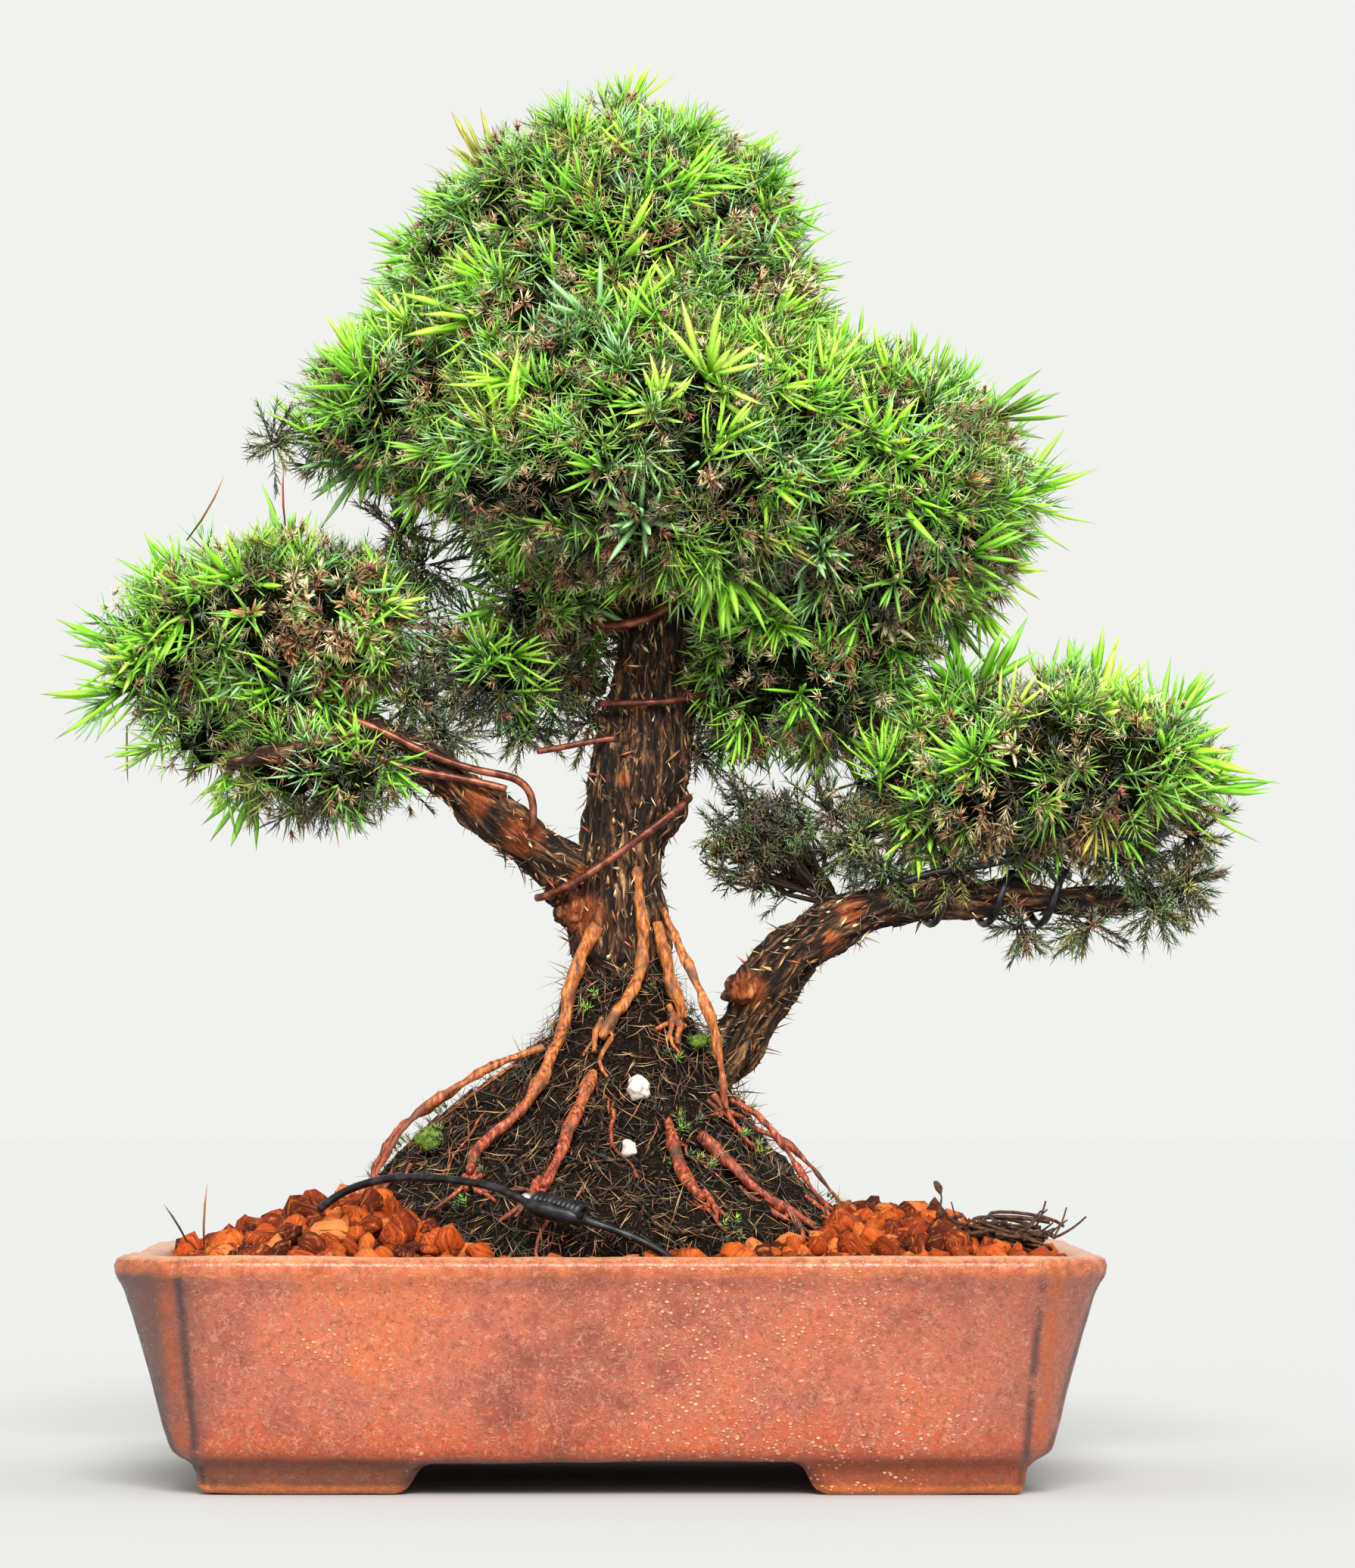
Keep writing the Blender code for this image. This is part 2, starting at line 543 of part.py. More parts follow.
def make_roots():
    """Surface roots that run down the trunk and the mound, and thin ones that stand free."""
    bright = material("root", ROOT, 0.5)
    roots = []

    def root(name, points, steps=2):
        path = [(x, y, rise(z), size * ROOT_GIRTH) for x, y, z, size in points]
        made, fat = tube(name, bright, path, steps)
        carve(made, [earlier for _, earlier in roots])
        roots.append((made, fat))

    def mound_root(name, points, back=False):
        """Points are x, height and radius; the root lies half sunk in the mound."""
        root(name, [(x, on_mound(x, z, 0.35 * size, back), z, size) for x, z, size in points])

    root("root_left_main", [
        (-2.6, -8.4, 56.4, 1.3), (-5.6, -8.6, 51.0, 1.35), (-7.6, -9.0, 45.5, 1.3), (-8.4, -9.4, 39.5, 1.2),
        (-10.6, on_mound(-10.6, 34, 0.2), 34.0, 1.1), (-13.6, on_mound(-13.6, 27, 0.2), 27.0, 1.15),
        (-18.0, on_mound(-18, 22, 0.3), 22.0, 0.95), (-23.4, on_mound(-23.4, 17.2, 0.3), 17.2, 1.1),
        (-24.4, on_mound(-24.4, 13.4, 0.4), 13.4, 0.7),
    ])
    root("root_middle_upper", [
        (4.0, -7.8, 66.5, 0.9), (4.8, -8.9, 60.0, 1.1), (5.2, -9.9, 53.0, 1.25), (4.4, -10.6, 46.5, 1.2),
        (0.2, on_mound(0.2, 40.5, 0.2), 40.5, 1.0), (-2.0, on_mound(-2, 36.5, 0.3), 36.5, 0.8),
    ])
    mound_root("root_middle_lower", [
        (-3.2, 31.0, 0.8), (-5.2, 26.0, 1.2), (-7.6, 20.5, 1.2), (-9.4, 15.5, 1.0), (-11.6, 11.0, 1.1),
    ])
    root("root_right_upper", [
        (7.6, -6.6, 57.0, 1.0), (8.9, -7.8, 51.0, 1.3), (10.6, -8.4, 45.0, 1.3),
        (12.2, on_mound(12.2, 40.0, 0.3), 40.0, 0.9),
    ])
    mound_root("root_right_front", [
        (9.6, 22.6, 0.9), (10.4, 18.0, 1.3), (12.4, 13.0, 1.3), (15.6, 9.0, 0.9),
    ])
    mound_root("root_right_side", [
        (15.0, 20.0, 0.9), (19.0, 16.0, 1.2), (24.6, 10.6, 0.9), (30.0, 7.0, 0.8),
    ])
    root("root_free_right", [
        (8.6, -6.0, 59.6, 0.75), (11.4, -9.6, 53.0, 0.8), (14.6, -12.6, 46.0, 0.85),
        (17.0, -14.4, 40.0, 0.85),
        (18.6, -15.4, 33.0, 0.8), (19.4, -16.0, 24.0, 0.75),
    ])
    root("root_free_left_1", [
        (-12.0, -12.0, 35.0, 0.7), (-20.0, -15.0, 32.2, 0.75), (-29.0, -17.0, 27.0, 0.75),
        (-35.5, -19.0, 22.0, 0.65),
        (-40.0, -21.0, 15.0, 0.55), (-42.5, -22.0, 9.5, 0.5),
    ])
    root("root_free_left_2", [
        (-25.0, -14.0, 29.6, 0.5), (-31.0, -14.0, 24.6, 0.5), (-36.0, -15.0, 22.2, 0.5),
        (-40.6, -17.0, 16.0, 0.5),
        (-42.0, -18.0, 11.0, 0.45),
    ])
    root("root_free_right_1", [
        (20.0, -12.0, 26.0, 0.55), (25.2, -14.0, 23.2, 0.6), (30.4, -15.0, 17.0, 0.6),
        (35.0, -15.0, 9.5, 0.55),
        (40.0, -14.0, 5.4, 0.5),
    ])
    root("root_free_right_2", [
        (24.0, -8.0, 21.0, 0.5), (30.0, -9.0, 18.6, 0.5), (35.6, -9.0, 13.0, 0.5), (40.4, -8.0, 7.0, 0.5),
        (44.0, -7.0, 3.6, 0.45),
    ])
    mound_root("root_back_left", [
        (-6.0, 40.0, 1.3), (-9.0, 32.0, 1.3), (-15.0, 23.0, 1.2), (-22.0, 14.0, 1.0),
    ], back=True)
    mound_root("root_back_middle", [
        (2.0, 42.0, 1.2), (3.0, 33.0, 1.3), (1.0, 24.0, 1.2), (4.0, 13.0, 1.1),
    ], back=True)
    mound_root("root_back_right", [
        (8.6, 40.0, 1.1), (12.0, 31.0, 1.2), (16.0, 21.0, 1.1), (22.0, 12.0, 0.9),
    ], back=True)
    return roots


# ---------------------------------------------------------------- wires

def make_wires():
    """Training wires on the branches, and the dark wire that ties the tree into its pot."""
    brown = material("brown_wire", BROWN_WIRE, 0.35, 0.6)
    black = material("black_wire", BLACK_WIRE, 0.35, 0.3)
    r = WIRE_DIAMETER / 2
    wires = []

    def wire(name, look, points, steps=2, radius=r):
        made, fat = tube(name, look, [(x, y, rise(z), radius) for x, y, z in points], steps)
        carve(made, [earlier for _, earlier in wires])
        wires.append((made, fat))

    wire("wire_left_upper", brown, [
        (-46.0, -12.0, 92.4), (-39.5, -11.6, 89.8), (-32.0, -11.8, 86.0), (-24.0, -11.2, 83.4),
        (-17.6, -10.2, 82.2), (-14.6, -9.8, 79.6), (-14.0, -10.2, 75.8), (-14.4, -10.4, 73.0),
    ])
    wire("wire_left_lower", brown, [
        (-41.0, -13.0, 85.6), (-36.0, -12.8, 83.6), (-29.6, -12.4, 82.4), (-22.4, -11.8, 81.0),
        (-18.6, -11.4, 80.0),
    ])
    wire("wire_trunk_diagonal", brown, [
        (-13.6, -6.4, 61.2), (-11.4, -9.6, 61.6), (-6.4, -11.4, 64.0), (0.0, -11.2, 68.2), (6.0, -11.4, 72.6),
        (10.8, -10.2, 76.4), (13.6, -6.4, 79.0),
    ])
    wire("wire_trunk_ring", brown, [
        (-3.0, -3.0, 95.4), (-1.6, -7.0, 95.4), (3.0, -9.2, 95.3), (8.4, -9.3, 95.5), (13.4, -7.4, 96.4),
        (17.6, -4.6, 97.4),
    ], radius=0.6)
    wire("wire_trunk_stub", brown, [
        (-13.6, -5.0, 87.0), (-9.6, -5.6, 87.6), (-4.6, -6.2, 88.6), (0.6, -6.0, 89.4),
    ], radius=0.6)
    wire("wire_crown_arc", brown, [
        (-4.6, -6.0, 109.8), (-1.0, -8.6, 108.8), (5.0, -9.6, 109.8), (10.6, -8.4, 113.0),
        (14.0, -5.0, 117.0),
    ], radius=0.9)
    wire("wire_right_top", black, [
        (50.0, -8.6, 63.6), (56.0, -9.0, 65.6), (62.0, -8.8, 66.4), (68.0, -8.2, 67.6), (73.6, -7.6, 69.6),
    ])
    wire("wire_right_outer", black, [
        (76.4, -13.0, 73.0), (80.6, -14.0, 73.8), (86.0, -14.4, 71.8), (92.0, -13.6, 71.4),
        (97.0, -11.4, 72.6),
    ])

    def coil(name, turns, start, pitch, swell):
        """A wire wound round the right branch, whose axis runs nearly level there."""
        points = []
        for k in range(8 * turns + 1):
            t = k / 8
            angle = 2 * pi * t + 0.6
            points.append((start + pitch * t, -3.0 + swell * sin(angle), 61.2 + swell * cos(angle)))
        wire(name, black, points, steps=1)

    coil("wire_right_coil", 3, 52.0, 9.5, 4.9)
    r = TIE_WIRE_DIAMETER / 2
    twist = TWIST_DIAMETER / 2
    front = FRONT_REACH
    wires.append(tube("tie_wire", black, [(x, y, rise(z), size) for x, y, z, size in (
        (-50.0, 15.5 - front, 7.0, r), (-45.5, 15.0 - front, 10.4, r), (-37.0, 12.0 - front, 12.8, r),
        (-26.0, 6.6 - front, 12.4, r), (-18.6, 2.4 - front, 11.0, r), (-14.0, 0.2 - front, 8.8, r),
        (-12.4, -0.8 - front, 7.9, twist), (-5.6, -2.2 - front, 6.3, twist), (-4.0, -2.2 - front, 5.8, r),
        (3.0, -2.8 - front, 3.4, r), (8.6, -3.0 - front, 0.6, r), (11.0, -2.8 - front, -1.6, r),
    )]))
    return wires


# ---------------------------------------------------------------- small trim

def make_trim():
    """Moss cushions and perlite on the mound, and dry litter on the gravel."""
    moss = material("moss", MOSS, 0.95)
    perlite = material("perlite", PERLITE, 0.8)
    dry = material("dry_roots", DRY, 0.9)
    trim = []
    for i, (x, z, size) in enumerate(((-32.0, 19.0, 2.4), (14.6, 36.0, 1.9))):
        y = on_mound(x, z, 0.2)
        radii = (size, 0.7 * size, 0.8 * size)
        trim.append(lump(f"moss_{i + 1}", moss, (x, y, rise(z)), radii, i, 0.2, 2, GAP))
    for i, (x, z, size) in enumerate(((4.4, 28.0, 2.2), (3.0, 17.6, 1.5))):
        y = on_mound(x, z, 0.3 * size)
        trim.append(lump(f"perlite_{i + 1}", perlite, (x, y, rise(z)), (size,) * 3, 20 + i, 0.3, 2, GAP))
    trim.append(lump("dry_clump", dry, (67.0, -33.0, rise(3.4)), (8.6, 5.4, 2.4), 7, 0.3, 3, GAP))
    trim.append(tube("dry_twig", dry, [
        (57.6, -30.0, rise(2.0), 0.45), (55.8, -30.4, rise(6.0), 0.4), (56.6, -30.4, rise(9.0), 0.35),
        (55.4, -30.2, rise(12.0), 0.3),
    ]))
    return trim


# ---------------------------------------------------------------- foliage

# Name, centre (x, y, height above the rim) and radii of each foliage pad, upper ones first.
PADS = (
    ("crown_top", (-1.0, 0.0, 168.0), (40.5, 36.0, 35.5)),
    ("crown_front", (8.0, -21.0, 139.0), (41.0, 35.0, 29.0)),
    ("crown_back", (8.0, 27.0, 136.0), (40.0, 31.0, 31.0)),
    ("crown_left", (-26.0, 0.0, 147.0), (34.5, 33.0, 20.0)),
    ("crown_right", (44.5, 0.0, 131.0), (33.5, 36.0, 30.0)),
    ("skirt_left", (-20.0, 2.0, 102.0), (18.0, 20.0, 14.0)),
    ("skirt_right", (31.0, 2.0, 99.0), (25.0, 24.0, 17.0)),
    ("left_pad", (-60.5, -1.0, 109.5), (30.5, 25.0, 19.0)),
    ("left_pad_tip", (-83.0, -1.0, 98.0), (13.5, 15.0, 10.5)),
    ("left_pad_lower", (-54.0, -5.0, 82.5), (24.0, 19.0, 11.0)),
    ("right_pad", (73.0, -1.0, 84.0), (37.5, 27.0, 20.5)),
    ("right_pad_inner", (27.0, 5.0, 73.0), (10.5, 11.0, 9.5)),
)


def make_foliage(cutters):
    """Foliage pads; each is cut by the wood and wires in it and by the pads before it."""
    look = material("foliage", GREEN, 0.7)
    earlier = []
    for seed, (name, (x, y, z), radii) in enumerate(PADS):
        pad, fat = lump(name, look, (x, y, rise(z)), radii, 11 + 3 * seed, 0.12)
        carve(pad, cutters)
        carve(pad, earlier)
        earlier.append(fat)


# ---------------------------------------------------------------- the whole

def centre_everything():
    """Hang every piece on one empty that puts the middle of the whole over the origin."""
    low = [1e9, 1e9]
    high = [-1e9, -1e9]
    graph = bpy.context.evaluated_depsgraph_get()
    for item in PIECES.objects:
        for corner in item.evaluated_get(graph).bound_box:
            for axis in (0, 1):
                low[axis] = min(low[axis], corner[axis])
                high[axis] = max(high[axis], corner[axis])
    base = bpy.data.objects.new("base", None)
    base.location = (-(low[0] + high[0]) / 2, -(low[1] + high[1]) / 2, 0)
    for item in list(PIECES.objects) + list(CUTTERS.objects):
        item.parent = base
    PIECES.objects.link(base)


def build():
    make_pot()
    make_soil(make_drain_meshes())
    wires = make_wires()
    roots = make_roots()
    trim = make_trim()
    (trunk, trunk_fat), branches = make_wood()
    wire_cuts = [fat for _, fat in wires]
    root_cuts = [fat for _, fat in roots]
    branch_cuts = [fat for _, fat in branches]
    for made, _ in roots + trim:
        carve(made, wire_cuts)
    for made, _ in trim:
        carve(made, root_cuts)
    trim_cuts = [fat for _, fat in trim]
    carve(trunk, wire_cuts + root_cuts)
    for made, _ in branches:
        carve(made, wire_cuts + root_cuts)
    mound = piece("mound", mound_mesh("mound", 0), material("mound", SOIL, 0.95))
    mound_fat = cutter("mound_clearance", mound_mesh("mound_clearance", 1.5 * GAP))
    carve(mound, [trunk_fat] + branch_cuts + root_cuts + wire_cuts + trim_cuts)
    gravel = piece("gravel", gravel_mesh(), material("gravel", GRAVEL, 0.85))
    carve(gravel, [mound_fat] + root_cuts + wire_cuts + trim_cuts)
    make_foliage([trunk_fat] + branch_cuts + wire_cuts)
    centre_everything()


build()
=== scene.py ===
"""A small cedar bonsai in a low glazed pot: its finishes, foliage, bark, roots, gravel and wires."""

from math import cos, pi, radians, sin

import bmesh
import bpy
import numpy as np
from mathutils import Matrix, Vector, noise
from mathutils.bvhtree import BVHTree


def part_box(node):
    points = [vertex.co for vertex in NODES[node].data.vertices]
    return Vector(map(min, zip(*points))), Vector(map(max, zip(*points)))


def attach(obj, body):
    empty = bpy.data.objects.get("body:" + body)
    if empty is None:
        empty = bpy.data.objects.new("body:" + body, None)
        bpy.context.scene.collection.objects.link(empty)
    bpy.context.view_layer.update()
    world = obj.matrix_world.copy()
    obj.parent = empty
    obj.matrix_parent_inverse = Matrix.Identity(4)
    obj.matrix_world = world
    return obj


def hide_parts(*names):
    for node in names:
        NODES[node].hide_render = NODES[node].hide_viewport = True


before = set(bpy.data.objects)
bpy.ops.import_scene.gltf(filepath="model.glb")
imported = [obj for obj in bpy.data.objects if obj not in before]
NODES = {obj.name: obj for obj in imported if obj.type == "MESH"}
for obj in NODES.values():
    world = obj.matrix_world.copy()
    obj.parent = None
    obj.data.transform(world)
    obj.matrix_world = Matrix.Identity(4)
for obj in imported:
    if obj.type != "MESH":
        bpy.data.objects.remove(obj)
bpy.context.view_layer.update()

MM = 0.001
UP = Vector((0, 0, 1))
BACKWARDS = Vector((0, 1, 0))  # from the front of the tree to its back
EVEN = (1, 1, 1)  # a pattern that isn't stretched
FAR_IN_FRONT = -0.2  # a place along Y, in metres, that is in front of the whole tree
GOLDEN_TURN = 2.39996  # radians from one needle to the next around a stem

# ---------------------------------------------------------------- where things are

POT_LOW, POT_HIGH = (Vector(corner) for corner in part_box("pot"))
MIDDLE = (POT_LOW + POT_HIGH) / 2
RIM = POT_HIGH.z

# The creases between the pot's flat sides and its cut corners, in millimetres from its middle; they
# lean out by this much from the foot to the rim.
CREASE_X, CREASE_Y, CREASE_LEAN = 69.0, 47.5, 3.0


def at(x, y, height):
    """A place given in millimetres from the pot's middle, with its height above the rim."""
    return Vector((MIDDLE.x + x * MM, MIDDLE.y + y * MM, RIM + height * MM))


def named(*beginnings):
    return [name for name in sorted(NODES) if name.startswith(beginnings)]


WOOD = ["trunk", "left_branch", "left_side_branch", "right_branch", "right_inner_branch"]
WOOD += named("crown_branch", "skirt_branch")
ROOTS = named("root_")

# ---------------------------------------------------------------- materials


class Socket:
    """A value inside a material; arithmetic on it adds Math nodes."""

    def __init__(self, look, socket):
        self.look = look
        self.socket = socket

    def __add__(self, other):
        return self.look.maths("ADD", self, other)

    def __radd__(self, other):
        return self.look.maths("ADD", other, self)

    def __sub__(self, other):
        return self.look.maths("SUBTRACT", self, other)

    def __rsub__(self, other):
        return self.look.maths("SUBTRACT", other, self)

    def __mul__(self, other):
        return self.look.maths("MULTIPLY", self, other)

    def __rmul__(self, other):
        return self.look.maths("MULTIPLY", other, self)


class Look:
    """A material built up around one Principled shader."""

    def __init__(self, name, roughness, **fixed):
        self.material = bpy.data.materials.new(name)
        self.material.use_nodes = True
        self.tree = self.material.node_tree
        self.shader = self.tree.nodes["Principled BSDF"]
        self.shader.inputs["Roughness"].default_value = roughness
        for socket, value in fixed.items():
            self.shader.inputs[socket.replace("_", " ")].default_value = value

    def node(self, kind, settings=None, inputs=None, output=0):
        made = self.tree.nodes.new(kind)
        for key, value in (settings or {}).items():
            if key == "stops":
                self.set_stops(made.color_ramp, value)
            elif key == "interpolation":
                made.color_ramp.interpolation = value
            else:
                setattr(made, key, value)
        for key, value in (inputs or {}).items():
            self.feed(made.inputs[key], value)
        return Socket(self, made.outputs[output])

    def feed(self, socket, value):
        if isinstance(value, Socket):
            self.tree.links.new(value.socket, socket)
        elif isinstance(value, tuple) and socket.type == "RGBA":
            socket.default_value = (*value, 1.0)
        else:
            socket.default_value = value

    def set_stops(self, ramp, stops):
        while len(ramp.elements) < len(stops):
            ramp.elements.new(1.0)
        for element, (place, colour) in zip(ramp.elements, stops):
            element.position = place
            element.color = (*colour, 1.0)

    def maths(self, operation, first, second=0.0):
        return self.node("ShaderNodeMath", {"operation": operation}, {0: first, 1: second})

    def place(self, stretch=EVEN):
        """Object coordinates, in millimetres, stretched by the factors."""
        coords = self.node("ShaderNodeTexCoord", output="Object")
        scale = tuple(factor / MM for factor in stretch)
        return self.node("ShaderNodeMapping", None, {"Vector": coords, "Scale": scale})

    def grain(self, vector, size, detail=4.0, roughness=0.6, distortion=0.0):
        """Noise from 0 to 1 whose features are about size millimetres across."""
        return self.node("ShaderNodeTexNoise", None, {
            "Vector": vector, "Scale": 1 / size, "Detail": detail, "Roughness": roughness,
            "Distortion": distortion,
        })

    def cells(self, vector, size):
        """The distance to the nearest of points that lie about size millimetres apart."""
        return self.node("ShaderNodeTexVoronoi", None, {"Vector": vector, "Scale": 1 / size}, "Distance")

    def ramp(self, value, stops, interpolation="LINEAR"):
        settings = {"stops": stops, "interpolation": interpolation}
        return self.node("ShaderNodeValToRGB", settings, {"Fac": value})

    def step(self, value, low, high):
        """A soft step from 0 at low to 1 at high."""
        return self.node("ShaderNodeMapRange", {"interpolation_type": "SMOOTHSTEP"}, {
            "Value": value, "From Min": low, "From Max": high,
        })

    def line(self, value, middle, width):
        """A soft line: 1 where the value is at the middle, 0 beyond the width from it."""
        return self.step(self.maths("ABSOLUTE", value - middle), width, 0.0)

    def mix(self, share, first, second):
        colours = {"Factor": share, 6: first, 7: second}
        return self.node("ShaderNodeMix", {"data_type": "RGBA"}, colours, output=2)

    def height(self, vector, axis="Z"):
        return self.node("ShaderNodeSeparateXYZ", None, {"Vector": vector}, axis)

    def near(self, spot, reach):
        """1 at a spot on the object, given in metres, falling to 0 at the reach in millimetres."""
        coords = self.node("ShaderNodeTexCoord", output="Object")
        ends = {0: coords, 1: tuple(spot)}
        gap = self.node("ShaderNodeVectorMath", {"operation": "DISTANCE"}, ends, "Value")
        return self.step(gap, reach * MM, reach * 0.35 * MM)

    def bump(self, value, depth, strength=1.0):
        """Relief of a depth in millimetres."""
        heights = {"Height": value, "Distance": depth * MM, "Strength": strength}
        return self.node("ShaderNodeBump", None, heights)

    def paint(self, **sockets):
        for socket, value in sockets.items():
            self.feed(self.shader.inputs[socket.replace("_", " ")], value)
        return self.material


def srgb(red, green, blue):
    """A colour given as 0-255 display values, as linear light."""
    return tuple(
        c / 12.92 if c <= 0.04045 else ((c + 0.055) / 1.055) ** 2.4
        for c in (red / 255, green / 255, blue / 255)
    )


def glaze_finish():
    """Mauve-brown crinkled glaze: orange low down and on the rim's edge, with an orange run beside the
    corners and a crust of pale flecks on front and back; painted shade greys the cut corners, the left
    most, and darkens the creases."""
    look = Look("glaze", 0.36, Coat_Weight=0.2, Coat_Roughness=0.25, Specular_IOR_Level=0.4)
    place = look.place()
    x = look.height(place, "X") - MIDDLE.x / MM
    y = look.height(place, "Y") - MIDDLE.y / MM
    z = look.height(place, "Z")
    broad = look.grain(place, 34.0, 3.0, 0.55)
    medium = look.grain(place, 7.0, 5.0, 0.65)
    small = look.grain(place, 2.4, 4.0, 0.7)
    fine = look.grain(place, 0.8, 3.0, 0.7)
    crinkle = look.line(look.grain(place, 2.1, 5.0, 0.62, 1.6), 0.5, 0.055)
    body = look.ramp(broad * 0.6 + medium * 0.4, [
        (0.32, srgb(118, 54, 40)), (0.43, srgb(152, 77, 58)), (0.53, srgb(184, 97, 72)),
        (0.66, srgb(202, 102, 56)),
    ])
    low = look.step(medium * 22.0 - z, -5.0, 7.0)
    body = look.mix(low * 0.8, body, srgb(184, 70, 22))
    body = look.mix(look.step(medium, 0.56, 0.72) * 0.45, body, srgb(188, 92, 54))
    body = look.mix(crinkle * 0.4, body, srgb(238, 168, 132))
    body = look.mix(look.step(fine, 0.48, 0.34) * 0.4, body, srgb(96, 42, 30))
    body = look.mix(look.step(small, 0.44, 0.32) * 0.4, body, srgb(124, 56, 40))
    # Painted shade: the cut corners, turned from the light, are darker and greyer, the left one most.
    corner_shade = look.step(medium * 30.0 - x, 78.0, 92.0) + look.step(medium * 30.0 + x, 60.0, 96.0) * 0.45
    body = look.mix(corner_shade * 0.8, body, srgb(86, 60, 56))
    along = look.maths("ABSOLUTE", x)
    across = look.maths("ABSOLUTE", y)
    lean = z * (CREASE_LEAN / RIM * MM)
    run = look.line(along - lean, CREASE_X + 2.4, 2.6) * look.step(medium, 0.34, 0.52)
    body = look.mix(run * 0.7, body, srgb(176, 82, 36))
    # Painted shade in the creases between the flat sides and the cut corners; the same mask also sinks them
    # in the relief.
    shaded_crease = look.line(along - lean, CREASE_X, 1.3) + look.line(across - lean, CREASE_Y, 1.3)
    shaded_crease = shaded_crease * look.step(medium, 0.34, 0.52)
    body = look.mix(shaded_crease * 0.8, body, srgb(62, 44, 44))
    rim = look.step(z + medium * 2.0, RIM / MM - 2.8, RIM / MM - 1.4)
    pale = look.mix(look.step(small, 0.35, 0.65), srgb(170, 84, 46), srgb(208, 118, 70))
    body = look.mix(rim * 0.7, body, pale)
    edge = look.step(z + small * 1.2, RIM / MM - 0.4, RIM / MM + 0.5)
    body = look.mix(edge * 0.7, body, srgb(222, 162, 120))
    foot = look.step(z + medium * 1.4, 7.4, 6.2)
    feet = look.mix(look.step(x, -30.0, 40.0), srgb(92, 58, 44), srgb(138, 66, 38))
    body = look.mix(foot * 0.75, body, feet)
    lip = look.step(z + medium * 1.6, 2.9, 1.7)
    body = look.mix(lip * 0.8, body, srgb(204, 112, 52))
    crust = look.cells(look.place((1.0, 1.0, 1.5)), 1.35)
    spot = look.grain(place, 3.6, 3.0, 0.6)
    flecks = look.step(crust + spot * 0.55, 0.56, 0.42)
    here = look.step(look.grain(place, 17.0, 2.0, 0.5) + look.line(x, 26.0, 46.0) * 0.3, 0.60, 0.72)
    flecks = flecks * here
    body = look.mix(flecks * 0.85, body, srgb(240, 178, 132))
    relief = broad * 0.5 + medium * 0.6 + small * 0.3 + crinkle * 0.10 + flecks * 0.3 - shaded_crease * 0.5
    rough = look.step(fine, 0.3, 0.8) * 0.16 + 0.3 + flecks * 0.25
    return look.paint(Base_Color=body, Roughness=rough, Normal=look.bump(relief, 0.7))


# Where the bark is worn to orange wood: x, y and height above the rim, and how far it reaches.
WORN_SPOTS = (((-6, -9, 58), 6.0), ((-16, -9, 72), 5.0), ((-24, -10, 78), 4.0), ((23.5, -6, 45), 4.5),
              ((3.5, -8, 95), 2.5), ((1.5, -9, 82), 2.0), ((42, -8, 59), 3.5))


def bark_finish(name, orange, stretch=EVEN, follows=False):
    """Fibrous dark bark with strips worn through to orange-brown; the fibres run along the piece
    where it follows its own grain."""
    look = Look(name, 0.85, Specular_IOR_Level=0.3)
    place = look.place()
    along = look.place(stretch)
    if follows:
        along = look.node("ShaderNodeAttribute", {"attribute_name": "grain"}, output="Vector")
    fibres = look.grain(along, 1.0, 6.0, 0.72, 0.6)
    broad = look.grain(place, 9.0, 3.0, 0.6)
    flakes = look.cells(along, 1.5)
    colour = look.ramp(fibres, [
        (0.37, srgb(6, 4, 3)), (0.45, srgb(24, 15, 10)), (0.52, srgb(62, 40, 26)),
        (0.59, srgb(120, 82, 54)), (0.69, srgb(206, 160, 110)),
    ])
    scars = look.step(broad + fibres * 0.4, 0.92 - 0.14 * orange, 1.04 - 0.14 * orange)
    for spot, reach in WORN_SPOTS:
        scars = look.maths("MAXIMUM", scars, look.near(at(*spot), reach))
    colour = look.mix(scars * 0.8, colour, look.ramp(fibres, [
        (0.32, srgb(64, 24, 10)), (0.52, srgb(158, 74, 32)), (0.70, srgb(222, 146, 88)),
    ]))
    return look.paint(Base_Color=colour, Roughness=0.7 + fibres * 0.25,
                      Normal=look.bump(fibres + flakes * 0.5, 0.9))


def root_finish():
    """Cinnamon roots: orange and pale where the skin is worn, red and dark lower down."""
    look = Look("root", 0.5)
    place = look.place()
    fibres = look.grain(look.place((1.2, 1.2, 0.3)), 0.8, 5.0, 0.7)
    blotch = look.grain(place, 6.0, 3.0, 0.6)
    high = look.step(look.height(place) + blotch * 14.0, RIM / MM + 24.0, RIM / MM + 46.0)
    red = look.ramp(fibres, [
        (0.32, srgb(34, 14, 9)), (0.46, srgb(122, 46, 26)), (0.58, srgb(190, 86, 50)),
        (0.72, srgb(244, 170, 120)),
    ])
    orange = look.ramp(fibres, [
        (0.32, srgb(58, 28, 12)), (0.44, srgb(150, 78, 30)), (0.56, srgb(206, 122, 52)),
        (0.72, srgb(244, 192, 122)),
    ])
    colour = look.mix(high, red, orange)
    skin = look.step(blotch + fibres * 0.5, 0.78, 0.92)
    colour = look.mix(skin * 0.8, colour, look.mix(fibres, srgb(22, 14, 10), srgb(104, 72, 54)))
    return look.paint(Base_Color=colour, Roughness=0.35 + fibres * 0.35,
                      Normal=look.bump(fibres, 0.35, 0.7))


